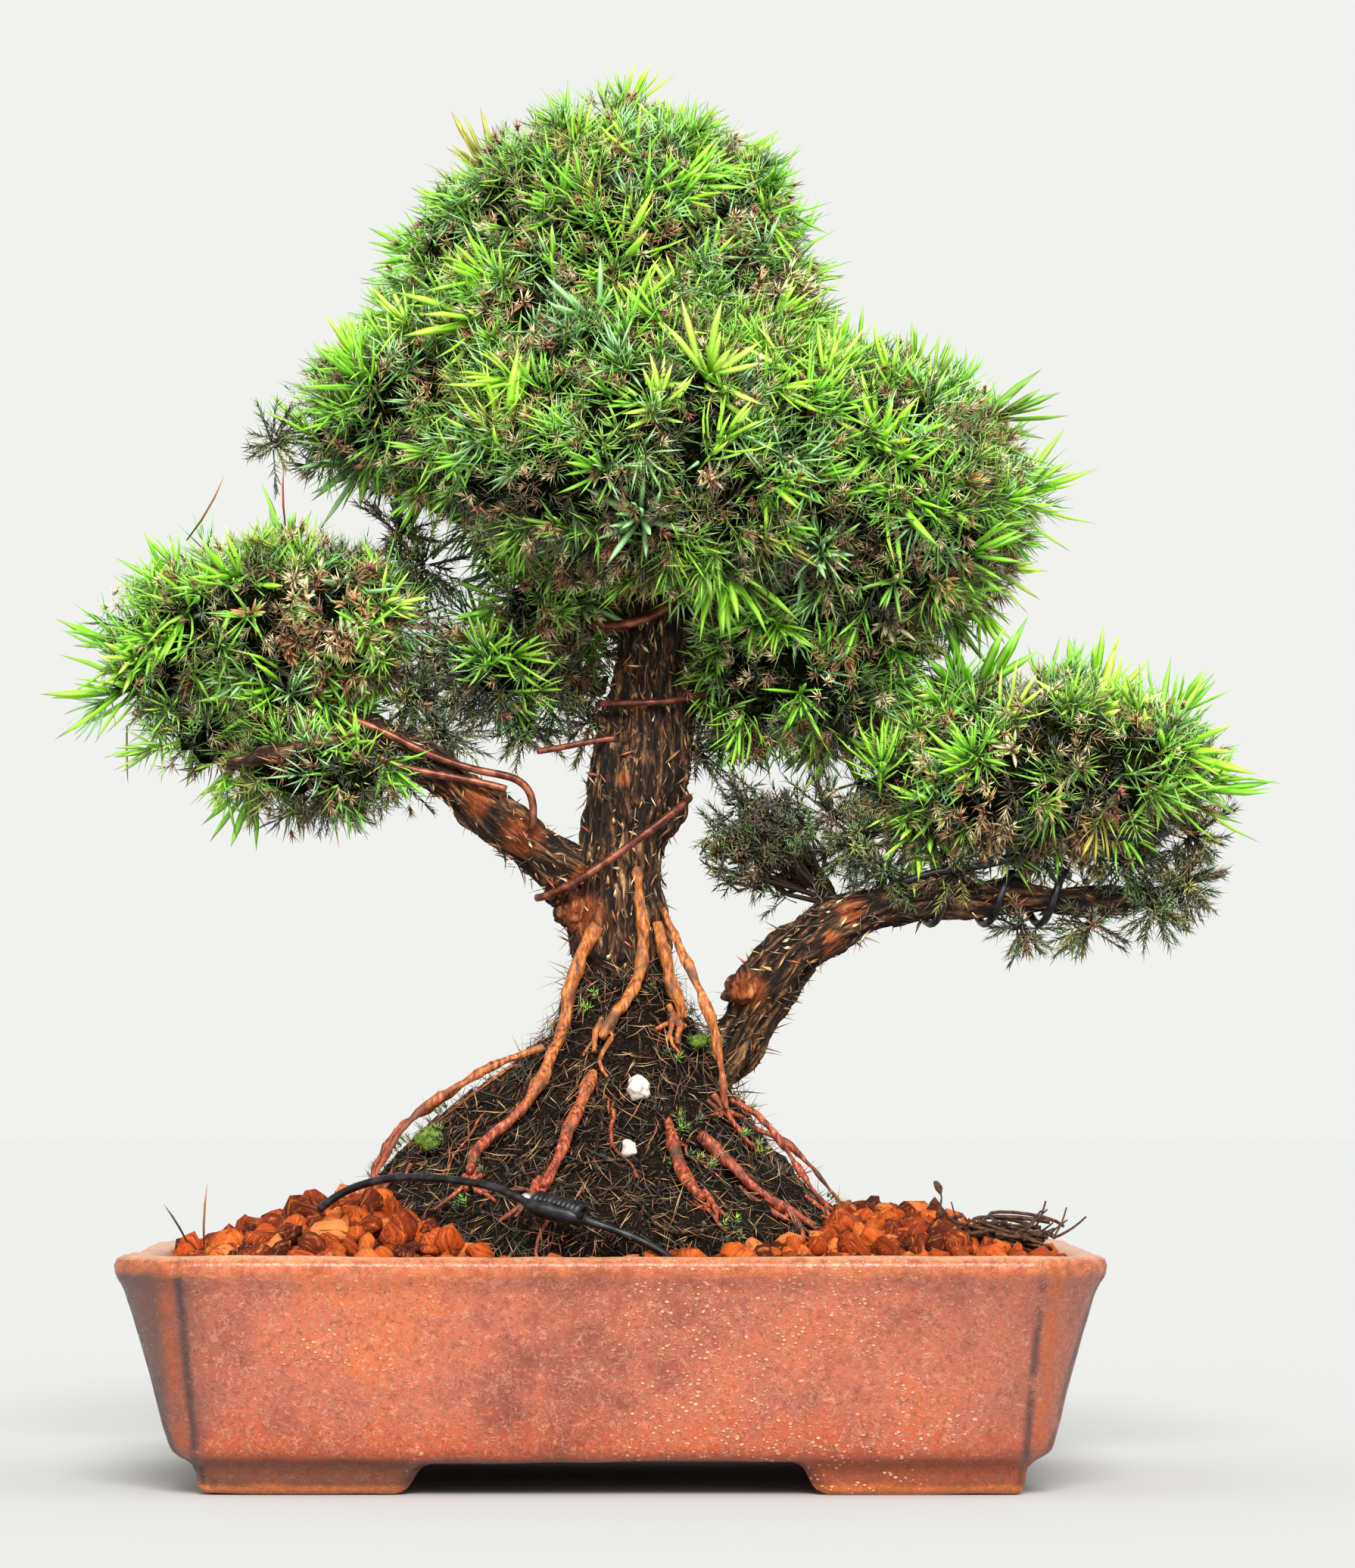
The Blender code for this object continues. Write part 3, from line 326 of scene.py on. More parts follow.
def soil_finish():
    """Near-black fibrous soil with brown threads and a trace of green."""
    look = Look("mound_soil", 0.95, Specular_IOR_Level=0.15)
    place = look.place()
    threads = look.grain(place, 0.9, 7.0, 0.75, 2.2)
    crumbs = look.cells(place, 1.3)
    broad = look.grain(place, 8.0, 3.0, 0.6)
    colour = look.ramp(threads, [
        (0.40, srgb(4, 3, 2)), (0.48, srgb(17, 11, 8)), (0.55, srgb(48, 31, 21)),
        (0.63, srgb(112, 78, 54)), (0.71, srgb(200, 160, 122)),
    ])
    green = look.step(broad, 0.60, 0.72) * look.step(threads, 0.45, 0.6)
    colour = look.mix(green * 0.7, colour, srgb(74, 84, 28))
    return look.paint(Base_Color=colour, Normal=look.bump(threads + crumbs * 0.6, 1.0))


def gravel_finish(name, charted):
    """Fired clay: powdery orange with dark pits. Loose granules read their own chart, so that each has
    its own colour; the bed under them is painted darker, as the shade in the gaps between them."""
    look = Look(name, 0.8, Specular_IOR_Level=0.2)
    if charted:
        chart = look.node("ShaderNodeUVMap", {"uv_map": "OFBake"})
        tint = look.height(chart, "X")
        place = look.node("ShaderNodeMapping", None, {"Vector": chart, "Scale": (52.0, 7.0, 1.0)})
    else:
        place = look.place()
        tint = look.grain(place, 4.2, 1.0, 0.4)
    dust = look.grain(place, 0.9, 5.0, 0.7)
    colour = look.ramp(tint, [
        (0.10, srgb(74, 22, 5)), (0.30, srgb(128, 44, 10)), (0.55, srgb(176, 68, 16)),
        (0.80, srgb(206, 96, 30)), (1.0, srgb(214, 130, 70)),
    ])
    colour = look.mix(look.step(dust, 0.52, 0.68) * 0.6, colour, srgb(234, 140, 70))
    colour = look.mix(look.step(dust, 0.48, 0.36) * 0.8, colour, srgb(58, 14, 2))
    # Painted shade: the bed seen between the granules is darkened as the shade in the gaps.
    if not charted:
        colour = look.mix(0.72, colour, srgb(26, 10, 5))
    return look.paint(Base_Color=colour, Normal=look.bump(dust, 0.5))


TONES = [  # base and tip colour of each needle tone
    (srgb(6, 9, 3), srgb(16, 24, 8)),  # 0: nearly black
    (srgb(14, 26, 7), srgb(34, 62, 17)),
    (srgb(26, 52, 10), srgb(60, 108, 26)),
    (srgb(38, 80, 12), srgb(88, 144, 32)),
    (srgb(58, 108, 16), srgb(118, 176, 42)),
    (srgb(76, 134, 18), srgb(144, 202, 50)),  # 5: plain green
    (srgb(50, 102, 44), srgb(118, 182, 104)),  # 6 and 7: bluish
    (srgb(74, 130, 62), srgb(162, 216, 142)),
    (srgb(84, 154, 16), srgb(138, 218, 38)),  # 8 to 11: fresh, the last ones lime
    (srgb(112, 186, 18), srgb(164, 236, 44)),
    (srgb(136, 208, 24), srgb(186, 250, 54)),
    (srgb(162, 222, 38), srgb(212, 254, 90)),
    (srgb(66, 64, 14), srgb(128, 126, 34)),  # 12 and 13: olive
    (srgb(112, 108, 24), srgb(184, 182, 58)),
    (srgb(30, 17, 8), srgb(74, 42, 20)),  # 14 to 17: dry, dark brown to cream
    (srgb(92, 50, 22), srgb(164, 98, 48)),
    (srgb(142, 94, 50), srgb(216, 166, 102)),
    (srgb(190, 156, 100), srgb(250, 232, 182)),
    (srgb(112, 38, 18), srgb(180, 76, 38)),  # 18: red-brown
    (srgb(196, 160, 20), srgb(232, 208, 52)),  # 19: yellow
]
FINE = (1, 2, 3, 4, 4, 5, 5, 5, 7, 8, 8, 9, 9, 13, 13, 15, 16, 17, 17)
# Painted shade: near-black and dark greens for shoots on a mass's underside and deepest in it, with olive
# and dead brown needles among them.
SHADE_AND_DEAD_TONES = (0, 0, 0, 0, 1, 1, 2, 12, 14, 14, 15)
PLAIN = (2, 3, 4, 4, 5, 5, 5, 7, 8, 8, 13)
BLUISH = (4, 5, 6, 7, 7, 8)
FRESH = (5, 8, 8, 9)
LIME = (9, 10, 10, 11)
DRY = (15, 15, 16, 16, 17, 17, 17, 18)
CHIPS = (14, 14, 14, 14, 14, 15, 15, 16, 17, 18)
HAIRS = (0, 0, 0, 0, 14, 14, 14, 14, 15, 15, 16, 16, 18)
OLD_GROWTH = (1, 1, 2, 2, 3, 12, 12, 13, 14, 15)
MOSS_TONES = (1, 2, 3, 4, 8, 9, 12, 13)


def needle_finish():
    """Needle colours run along each needle: a tone to each needle across, base to tip upwards, with painted
    shade at each needle's foot and a painted highlight along its middle.
    """
    look = Look("needles", 0.42, Specular_IOR_Level=0.3)
    chart = look.node("ShaderNodeUVMap", {"uv_map": "OFBake"})
    across = look.height(chart, "X")
    along = look.height(chart, "Y")
    count = len(TONES)
    bases = [(i / count, base) for i, (base, _) in enumerate(TONES)]
    tips = [(i / count, tip) for i, (_, tip) in enumerate(TONES)]
    base = look.ramp(across, bases, "CONSTANT")
    tip = look.ramp(across, tips, "CONSTANT")
    colour = look.mix(look.step(along, 0.12, 0.62), base, tip)
    # Painted shade at each needle's foot, where it sits deep in the shoot.
    colour = look.mix(look.step(along, 0.3, 0.0) * 0.55, colour, srgb(6, 10, 3))
    # Painted highlight: a pale line down each needle's middle.
    middle = look.step(look.maths("PINGPONG", across * count, 0.5), 0.36, 0.48)
    colour = look.mix(middle * 0.35, colour, look.mix(0.4, tip, (1.0, 1.0, 0.8)))
    return look.paint(Base_Color=colour)


def core_finish():
    """The twiggy inside of a pad, painted near-black as the shade deep within it."""
    look = Look("shaded_pad_inside", 1.0, Specular_IOR_Level=0.0)
    place = look.place()
    tangle = look.grain(place, 1.4, 6.0, 0.75, 1.5)
    colour = look.ramp(tangle, [
        (0.38, srgb(3, 5, 2)), (0.48, srgb(14, 20, 7)), (0.58, srgb(40, 48, 16)), (0.70, srgb(98, 72, 40)),
    ])
    return look.paint(Base_Color=colour, Normal=look.bump(tangle, 1.2))


def wire_finish(name, dark, light, metallic):
    """Anodised wire, rubbed paler here and there."""
    look = Look(name, 0.35, Metallic=metallic)
    place = look.place()
    rub = look.grain(place, 2.6, 4.0, 0.6)
    scratches = look.grain(look.place((3, 3, 0.6)), 0.5, 3.0, 0.6)
    colour = look.mix(look.step(rub, 0.42, 0.68), dark, light)
    return look.paint(Base_Color=colour, Roughness=0.28 + scratches * 0.25,
                      Normal=look.bump(scratches, 0.06, 0.5))


def speckled_finish(name, dark, light, size, roughness=0.85, depth=0.4):
    """A plain rough stuff of two colours: moss, perlite, litter, damp soil."""
    look = Look(name, roughness)
    grains = look.grain(look.place(), size, 5.0, 0.7)
    colour = look.mix(look.step(grains, 0.35, 0.65), dark, light)
    return look.paint(Base_Color=colour, Normal=look.bump(grains, depth, 0.8))


GLAZE = glaze_finish()
BARK_UP = bark_finish("bark_trunk", 0.35, stretch=(1.0, 1.0, 0.16))
BARK_ALONG = bark_finish("bark_branch", 0.8, follows=True)
ROOT_SKIN = root_finish()
MOUND_SOIL = soil_finish()
CLAY = gravel_finish("clay_granules", True)
SHADED_CLAY_BED = gravel_finish("shaded_clay_bed", False)
NEEDLES = needle_finish()
SHADED_PAD_INSIDE = core_finish()
BROWN_WIRE = wire_finish("brown_wire", srgb(92, 44, 32), srgb(168, 100, 72), 0.55)
BLACK_WIRE = wire_finish("black_wire", srgb(14, 14, 15), srgb(52, 52, 56), 0.4)
CUT_END = wire_finish("cut_wire_end", srgb(150, 148, 144), srgb(226, 224, 220), 0.8)
MOSS = speckled_finish("moss", srgb(40, 60, 14), srgb(120, 150, 40), 0.8)
PERLITE = speckled_finish("perlite", srgb(196, 184, 164), srgb(244, 238, 226), 0.9)
LITTER = speckled_finish("litter", srgb(30, 18, 12), srgb(104, 66, 40), 0.9)
DAMP_SOIL = speckled_finish("damp_soil", srgb(14, 10, 8), srgb(52, 36, 26), 1.4)
MESH_PLASTIC = speckled_finish("mesh_plastic", srgb(16, 16, 17), srgb(30, 30, 32), 0.6, 0.5, 0.1)

# ---------------------------------------------------------------- making pieces


def nothing_selected():
    bpy.ops.object.select_all(action="DESELECT")


def select_only(piece):
    nothing_selected()
    bpy.context.view_layer.objects.active = piece
    piece.select_set(True)


def new_object(name, data):
    made = bpy.data.objects.new(name, data)
    bpy.context.scene.collection.objects.link(made)
    return made


def finish_piece(piece, look, slot, *nodes):
    """Give a piece its material and its place in the object, and hide the CAD nodes it stands in for."""
    piece.data.materials.clear()
    piece.data.materials.append(look)
    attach(piece, "root")
    if nodes:
        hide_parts(*nodes)
    return piece


def copy_of(name, *nodes):
    """The CAD nodes' shapes as one new, merged object."""
    shape = bmesh.new()
    for node in nodes:
        shape.from_mesh(NODES[node].data)
    bmesh.ops.remove_doubles(shape, verts=shape.verts, dist=1e-6)
    mesh = bpy.data.meshes.new(name)
    shape.to_mesh(mesh)
    shape.free()
    return new_object(name, mesh)


def apply_modifier(piece, kind, **settings):
    modifier = piece.modifiers.new(kind.lower(), kind)
    for key, value in settings.items():
        setattr(modifier, key, value)
    select_only(piece)
    bpy.ops.object.modifier_apply(modifier=modifier.name)


def remesh(piece, voxel, smooth):
    """Even out a piece's mesh to small quads with rounded edges."""
    apply_modifier(piece, "REMESH", mode="VOXEL", voxel_size=voxel * MM)
    apply_modifier(piece, "SMOOTH", factor=0.5, iterations=smooth)
    piece.data.shade_smooth()


def subdivide(piece):
    """Round off a piece that is faceted in the CAD."""
    apply_modifier(piece, "SUBSURF", levels=2, render_levels=2)
    piece.data.shade_smooth()


def move_points(piece, places):
    for vert, place in zip(piece.data.vertices, places):
        vert.co = place


def draw_in(piece, depth):
    """Sink the whole surface by a depth in millimetres."""
    move_points(piece, [vert.co - vert.normal * depth * MM for vert in piece.data.vertices])


def ruffle(piece, *layers, spots=None):
    """Push the surface in and out by noise; a layer is its depth, size and stretch in millimetres.
    The noise is read at the points' own places, or at the places on the grain that are given."""
    moved = []
    for index, vert in enumerate(piece.data.vertices):
        push = 0.0
        where = spots[index] if spots else vert.co / MM
        for depth, size, stretch in layers:
            spot = Vector([c / size * s for c, s in zip(where, stretch)])
            push += depth * noise.noise(spot)
        moved.append(vert.co + vert.normal * push * MM)
    move_points(piece, moved)


def read(items, key, width, kind=float):
    """A row of values from each of a mesh's items."""
    values = np.empty(len(items) * width, kind)
    items.foreach_get(key, values)
    return values.reshape(-1, width)


def pattern_of(piece):
    """A modelled shape's points, face corners and face sizes, ready for copying; it is then removed."""
    mesh = piece.data
    pattern = (read(mesh.vertices, "co", 3), read(mesh.loops, "vertex_index", 1, np.int64)[:, 0],
               read(mesh.polygons, "loop_total", 1, np.int64)[:, 0])
    bpy.data.objects.remove(piece)
    return pattern


def copies(name, pattern, points, tones):
    """One object of many copies of a pattern; points holds every copy's moved points. The chart puts
    each copy in the column of its tone, with the pattern's foot at the bottom."""
    shape, corners, sizes = pattern
    count, each = points.shape[0], points.shape[1]
    all_corners = (corners[None, :] + np.arange(count)[:, None] * each).reshape(-1)
    all_sizes = np.tile(sizes, count)
    starts = np.concatenate(([0], np.cumsum(all_sizes)[:-1]))
    mesh = bpy.data.meshes.new(name)
    mesh.vertices.add(count * each)
    mesh.vertices.foreach_set("co", points.reshape(-1))
    mesh.loops.add(len(all_corners))
    mesh.loops.foreach_set("vertex_index", all_corners)
    mesh.polygons.add(len(all_sizes))
    mesh.polygons.foreach_set("loop_start", starts)
    mesh.polygons.foreach_set("loop_total", all_sizes)
    mesh.update(calc_edges=True)
    mesh.validate()
    chart = mesh.uv_layers.new(name="OFBake")
    across = (tones[:, None] + 0.5 + 0.7 * shape[None, :, 0]) / len(TONES)
    rise = (shape[:, 2] - shape[:, 2].min()) / (shape[:, 2].max() - shape[:, 2].min())
    along = np.broadcast_to(0.01 + 0.98 * rise, across.shape)
    uv = np.stack((across.reshape(-1)[all_corners], along.reshape(-1)[all_corners]), axis=1)
    chart.data.foreach_set("uv", uv.reshape(-1))
    mesh.shade_smooth()
    return new_object(name, mesh)


def surface_tree(*meshes):
    """The meshes' surfaces in one tree for looking up points."""
    corners, faces = [], []
    for mesh in meshes:
        start = len(corners)
        corners.extend(vert.co.copy() for vert in mesh.vertices)
        faces.extend(tuple(start + v for v in face.vertices) for face in mesh.polygons)
    return BVHTree.FromPolygons(corners, faces)


def surface_of(*nodes):
    return surface_tree(*(NODES[node].data for node in nodes))


# ---------------------------------------------------------------- pot, soil and gravel


def make_pot():
    """The pot with its soft glazed edges and slightly uneven walls."""
    pot = copy_of("glazed_pot", "pot")
    remesh(pot, 1.4, 4)
    ruffle(pot, (0.55, 38.0, EVEN), (0.22, 9.0, EVEN))
    return finish_piece(pot, GLAZE, "glaze", "pot")


def model_stone(seed):
    """One clay granule, about two across: blunt, dented and a little flat."""
    nothing_selected()
    bpy.ops.mesh.primitive_ico_sphere_add(subdivisions=2, radius=1.0)
    stone = bpy.context.object
    for vert in stone.data.vertices:
        spot = vert.co.copy()
        lump = noise.noise(spot * 1.2 + Vector((seed, 0, 0)))
        dent = noise.noise(spot * 2.9)
        vert.co = Vector((spot.x * 1.12, spot.y, spot.z * 0.84)) * (1 + 0.42 * lump + 0.16 * dent)
    return pattern_of(stone)


def random_turns(rng, count):
    """Random rotations as matrices."""
    q = rng.normal(size=(count, 4))
    q /= np.linalg.norm(q, axis=1)[:, None]
    w, x, y, z = q.T
    return np.stack((
        1 - 2 * (y * y + z * z), 2 * (x * y - w * z), 2 * (x * z + w * y),
        2 * (x * y + w * z), 1 - 2 * (x * x + z * z), 2 * (y * z - w * x),
        2 * (x * z - w * y), 2 * (y * z + w * x), 1 - 2 * (x * x + y * y),
    ), axis=1).reshape(-1, 3, 3)


# The granules' layers: how many tries, how far they are lifted, and the smallest and largest radius.
GRAVEL_LAYERS = ((3400, -2.8, 1.5, 2.6), (3000, -1.2, 1.1, 3.1))
BED_DROP = 3.4  # from the CAD gravel's top to the bed of fines, painted dark as the shade between the granules, in millimetres
CROWDING = 0.8  # how near two granules may come, as a share of their radii


def make_gravel():
    """Loose granules in two layers over a bed of fines that is painted dark as the shade between them."""
    bed = copy_of("gravel_bed", "gravel")
    for vert in bed.data.vertices:
        vert.co.z -= BED_DROP * MM
    finish_piece(bed, SHADED_CLAY_BED, "gravel")
    top, mound = surface_of("gravel"), surface_of("mound")
    low, high = (Vector(corner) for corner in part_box("gravel"))
    rng = np.random.default_rng(5)
    granules = [model_stone(seed) for seed in (3.1, 8.2, 14.7, 20.3)]
    for layer, (tries, lift, smallest, largest) in enumerate(GRAVEL_LAYERS):
        places, radii = np.empty((0, 3)), np.empty(0)
        for _ in range(tries):
            spot = Vector((rng.uniform(low.x, high.x), rng.uniform(low.y, high.y), RIM + 0.06))
            radius = rng.uniform(smallest, largest)
            hit, normal, _, _ = top.ray_cast(spot, -UP)
            soil = mound.ray_cast(spot, -UP)[0]
            if hit is None or normal.z < 0.3 or (soil is not None and soil.z > hit.z - 0.3 * MM):
                continue
            place = np.array(hit + UP * lift * MM)
            apart = np.linalg.norm(places - place, axis=1) / MM
            if (apart < CROWDING * (radii + radius)).any():
                continue
            places, radii = np.vstack((places, place)), np.append(radii, radius)
        sizes = radii[:, None, None] * rng.uniform(0.62, 1.4, (len(places), 1, 3))
        models = np.stack([model[0] for model in granules])
        models = models[rng.integers(len(granules), size=len(places))]
        shapes = (models * sizes * MM) @ random_turns(rng, len(places))
        tones = rng.uniform(0.5, len(TONES) - 1.5, len(places))
        stones = copies(f"gravel_stones_{layer + 1}", granules[0], shapes + places[:, None, :], tones)
        finish_piece(stones, CLAY, "gravel", *([] if layer else ["gravel"]))


# ---------------------------------------------------------------- wood, roots and mound


# The middle lines of the branches that show: x, y and height above the rim in millimetres.
BRANCH_LINES = {
    "left_branch": ((0, -1, 61), (-14.5, -4.5, 70), (-31, -7, 83.8), (-54, -4, 95.6), (-80, 1, 104)),
    "left_side_branch": ((-39, -6.5, 88.6), (-47, -13, 88), (-57, -17, 86), (-67, -18, 84.5)),
    "right_branch": ((14, 3, 26), (21, 1, 35), (26.8, -1.5, 45.6), (32.2, -3, 52.2), (39, -4, 56.6),
                     (48, -4, 60), (58, -3, 61.6), (85, -1, 61), (99, 0, 61.8)),
    "right_inner_branch": ((41, -2, 58), (36, 4, 65), (30, 7, 71), (24, 8, 75)),
}


GRAIN_STRETCH = 0.2  # how much slower the bark's pattern changes along a branch than across it


def set_grain(piece, line):
    """Note each point's place in the branch's own grain: across it twice, and along it drawn out."""
    places = [at(*point) for point in line]
    grain = []
    for vert in piece.data.vertices:
        best, run = None, 0.0
        for start, end in zip(places, places[1:]):
            way = end - start
            share = min(1.0, max(0.0, (vert.co - start).dot(way) / way.length_squared))
            off = vert.co - start.lerp(end, share)
            if best is None or off.length < best[0]:
                across = way.normalized().cross(BACKWARDS)
                along = (run + share * way.length) * GRAIN_STRETCH / MM
                best = (off.length, (off.y / MM, off.dot(across) / MM, along))
            run += way.length
        grain.append(Vector(best[1]))
    written = piece.data.attributes.new("grain", "FLOAT_VECTOR", "POINT")
    written.data.foreach_set("vector", [c for spot in grain for c in spot])
    return grain


def make_wood():
    for node in WOOD:
        piece = copy_of(f"{node}_bark", node)
        remesh(piece, 0.5 if node in ("trunk", "right_branch", "left_branch") else 0.6, 3)
        if node in BRANCH_LINES:
            grain = set_grain(piece, BRANCH_LINES[node])
            ruffle(piece, (1.6, 5.0, (1, 1, 2.4)), (0.9, 1.5, (1, 1, 1.2)), (0.4, 0.6, EVEN), spots=grain)
            finish_piece(piece, BARK_ALONG, "bark", node)
        else:
            ruffle(piece, (1.3, 5.5, (1, 1, 0.6)), (0.9, 1.5, (1, 1, 0.22)), (0.4, 0.6, (1, 1, 0.22)))
            finish_piece(piece, BARK_UP, "bark", node)


def make_roots():
    for node in ROOTS:
        piece = copy_of(f"{node}_skin", node)
        subdivide(piece)
        ruffle(piece, (0.5, 3.2, EVEN), (0.22, 0.9, (1, 1, 0.6)))
        finish_piece(piece, ROOT_SKIN, "root", node)


# Callused knobs: name, x and height above the rim, radius, and where their noise is read.
BURLS = (("left_root_burl", -6.0, 59.5, 4.2, 2.1), ("left_root_knob", -9.0, 62.5, 2.5, 7.3),
         ("right_branch_scar", 23.5, 45.5, 3.3, 11.9), ("trunk_knob", -1.0, 92.0, 2.4, 4.4))


def make_burls():
    """The knobs over the left root's start, on the trunk, and where a shoot was cut from a branch."""
    wood = surface_of(*WOOD)
    for name, x, height, size, seed in BURLS:
        hit = wood.ray_cast(at(x, -60, height), BACKWARDS)[0]
        nothing_selected()
        bpy.ops.mesh.primitive_ico_sphere_add(subdivisions=5, radius=size * MM,
                                              location=hit + Vector((0, size * 0.45, 0)) * MM)
        burl = bpy.context.object
        burl.name = name
        bpy.ops.object.transform_apply(location=True)
        places = [vert.co / MM + Vector((seed, seed, 0.0)) for vert in burl.data.vertices]
        ruffle(burl, (1.9, 2.6, (1, 1, 0.6)), (0.8, 1.0, EVEN), spots=places)
        burl.data.shade_smooth()
        finish_piece(burl, BARK_UP, "bark")


def make_mound():
    """The root cone, drawn in a little so that the roots stand out of it."""
    mound = copy_of("mound_of_soil", "mound")
    remesh(mound, 1.0, 2)
    draw_in(mound, 1.7)
    ruffle(mound, (2.0, 9.0, EVEN), (1.1, 2.6, EVEN), (0.5, 1.0, EVEN))
    finish_piece(mound, MOUND_SOIL, "mound", "mound")


# ---------------------------------------------------------------- needles


def model_needle(sides, rings):
    """An awl-shaped needle one unit long and one wide, flat on its inner side, standing at the origin."""
    nothing_selected()
    bpy.ops.mesh.primitive_cone_add(vertices=sides, radius1=0.5, radius2=0.0, depth=1.0,
                                    location=(0, 0, 0.5))
    needle = bpy.context.object
    bpy.ops.object.transform_apply(location=True)
    bpy.ops.object.mode_set(mode="EDIT")
    for k in range(1, rings + 1):
        bpy.ops.mesh.select_all(action="SELECT")
        bpy.ops.mesh.bisect(plane_co=(0, 0, k / (rings + 1)), plane_no=(0, 0, 1))
    bpy.ops.object.mode_set(mode="OBJECT")
    for vert in needle.data.vertices:
        z = vert.co.z
        cone = max(1 - z, 1e-3)
        width = (0.55 + 1.15 * z) * (1 - z**2.4)
        vert.co.x *= width / cone
        vert.co.y *= 0.42 * width / cone
    return pattern_of(needle)


LONG_NEEDLE = model_needle(4, 2)
NEEDLE = model_needle(3, 1)
TINY_NEEDLE = model_needle(3, 0)


def unit(v):
    return v / np.maximum(np.linalg.norm(v, axis=-1, keepdims=True), 1e-9)


def flat(values):
    """Per-shoot, per-needle values as one row per needle."""
    return values.reshape(-1, 3) if values.ndim == 3 else values.reshape(-1)


class Growth:
    """Needles gathered from many shoots, then made into one piece."""

    def __init__(self, pattern):
        self.pattern = pattern
        self.rows = []

    def needles(self, bases, ways, inward, lengths, widths, curls, tones):
        self.rows.append((bases, ways, inward, lengths, widths, curls, tones))

    def shoots(self, rng, bases, ways, tones, stem, count, length, width, lean, curl=0.12, bark=0.0,
               bark_tone=14, scatter=8):
        """Set needles in a spiral up each stem. Sizes are millimetres; lean is the needles' angle
        from the stem, in degrees, at its foot and at its tip."""
        total = len(bases)
        if not total:
            return
        ways = unit(ways)
        aside = unit(np.cross(ways, rng.normal(size=(total, 3))))
        over = np.cross(ways, aside)
        stems = stem * rng.uniform(0.75, 1.25, (total, 1))
        t = ((np.arange(count) + 0.5) / count)[None, :]
        turn = np.arange(count)[None, :] * GOLDEN_TURN + rng.uniform(0, 2 * pi, (total, 1))
        turn = turn + rng.normal(0, 0.25, (total, count))
        angle = np.radians(lean[0] + (lean[1] - lean[0]) * t**1.3 + rng.normal(0, scatter, (total, count)))
        radial = np.cos(turn)[..., None] * aside[:, None] + np.sin(turn)[..., None] * over[:, None]
        way = np.cos(angle)[..., None] * ways[:, None] + np.sin(angle)[..., None] * radial
        inward = np.sin(angle)[..., None] * ways[:, None] - np.cos(angle)[..., None] * radial
        base = bases[:, None] + ways[:, None] * (stems * t)[..., None] * MM
        size = rng.uniform(0.7, 1.2, (total, count)) * (0.72 + 0.5 * np.sin(pi * (0.15 + 0.75 * t)))
        shade = np.broadcast_to(tones[:, None], (total, count))
        self.needles(flat(base), flat(way), flat(inward), flat(size * length), flat(size**0.5 * width),
                     flat(rng.normal(curl, 0.14, (total, count))), flat(shade))
        if bark:
            self.needles(bases - ways * 2 * MM, ways, aside, stems[:, 0] + 2.5, np.full(total, bark),
                         rng.normal(0, 0.04, total), np.full(total, bark_tone))

    def make(self, name):
        base, way, inward, length, width, curl, tones = (
            np.concatenate([row[i] for row in self.rows]) for i in range(7)
        )
        shape = self.pattern[0]
        across = np.cross(way, inward)
        x, y, z = (shape[None, :, i, None] for i in range(3))
        length = (length * MM)[:, None, None]
        width = (width * MM)[:, None, None]
        bend = (curl[:, None, None] * z**2) * length
        points = (base[:, None] + across[:, None] * x * width + inward[:, None] * (y * width + bend)
                  + way[:, None] * z * length)
        return copies(name, self.pattern, points, tones.astype(float))


def random_spots(rng, mesh, per_area):
    """Random points on a mesh, one to each per_area square millimetres, with the outward directions."""
    mesh.calc_loop_triangles()
    corners = read(mesh.loop_triangles, "vertices", 3, np.int64)
    points, normals = (read(mesh.vertices, key, 3)[corners] for key in ("co", "normal"))
    area = np.linalg.norm(np.cross(points[:, 1] - points[:, 0], points[:, 2] - points[:, 0]), axis=1) / 2
    count = int(area.sum() / MM**2 / per_area)
    pick = rng.choice(len(area), count, p=area / area.sum())
    a, b = np.sort(rng.random((2, count, 1)), axis=0)
    share = np.concatenate((a, b - a, 1 - b), axis=1)[..., None]
    return (points[pick] * share).sum(axis=1), unit((normals[pick] * share).sum(axis=1))


def patches(spots, size, seed):
    """Smooth random values that change over the given distance in millimetres."""
    shift = Vector((seed, 0, 0))
    return np.array([noise.noise(Vector(spot) / (size * MM) + shift) for spot in spots])


PAD_DEPTH = 8.6  # from a pad's outline to the inside that its shoots stand on, painted dark as shade, in millimetres


def shaded_pad_inside(name, pads):
    """The pads' common inside, a sheet painted dark as the shade within them: their hulls run together,
    drawn in and crumpled.
    """
    shape = bmesh.new()
    for pad in pads:
        corners = [shape.verts.new(vert.co) for vert in NODES[pad].data.vertices]
        bmesh.ops.convex_hull(shape, input=corners)
    bmesh.ops.delete(shape, geom=[vert for vert in shape.verts if not vert.link_faces], context="VERTS")
    mesh = bpy.data.meshes.new(name)
    shape.to_mesh(mesh)
    shape.free()
    inside = new_object(name, mesh)
    remesh(inside, 2.0, 12)
    draw_in(inside, PAD_DEPTH)
    remesh(inside, 1.8, 2)
    ruffle(inside, (4.0, 13.0, EVEN), (3.0, 5.5, EVEN), (1.2, 2.2, EVEN))
    return finish_piece(inside, SHADED_PAD_INSIDE, "foliage")


# The tree's three lumps of foliage and the pads that run together in each.
MASSES = {
    "crown": named("crown_top", "crown_front", "crown_back", "crown_left", "crown_right", "skirt_left",
                   "skirt_right"),
    "left": named("left_pad"),
    "right": ["right_pad"],
}


def nearest_pad(spots, pads):
    """Which pad each point belongs to, by the pads' boxes."""
    far = []
    for pad in pads:
        low, high = (np.array(corner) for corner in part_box(pad))
        far.append(np.linalg.norm((spots - (low + high) / 2) / (high - low), axis=1))
    return np.argmin(np.array(far), axis=0)


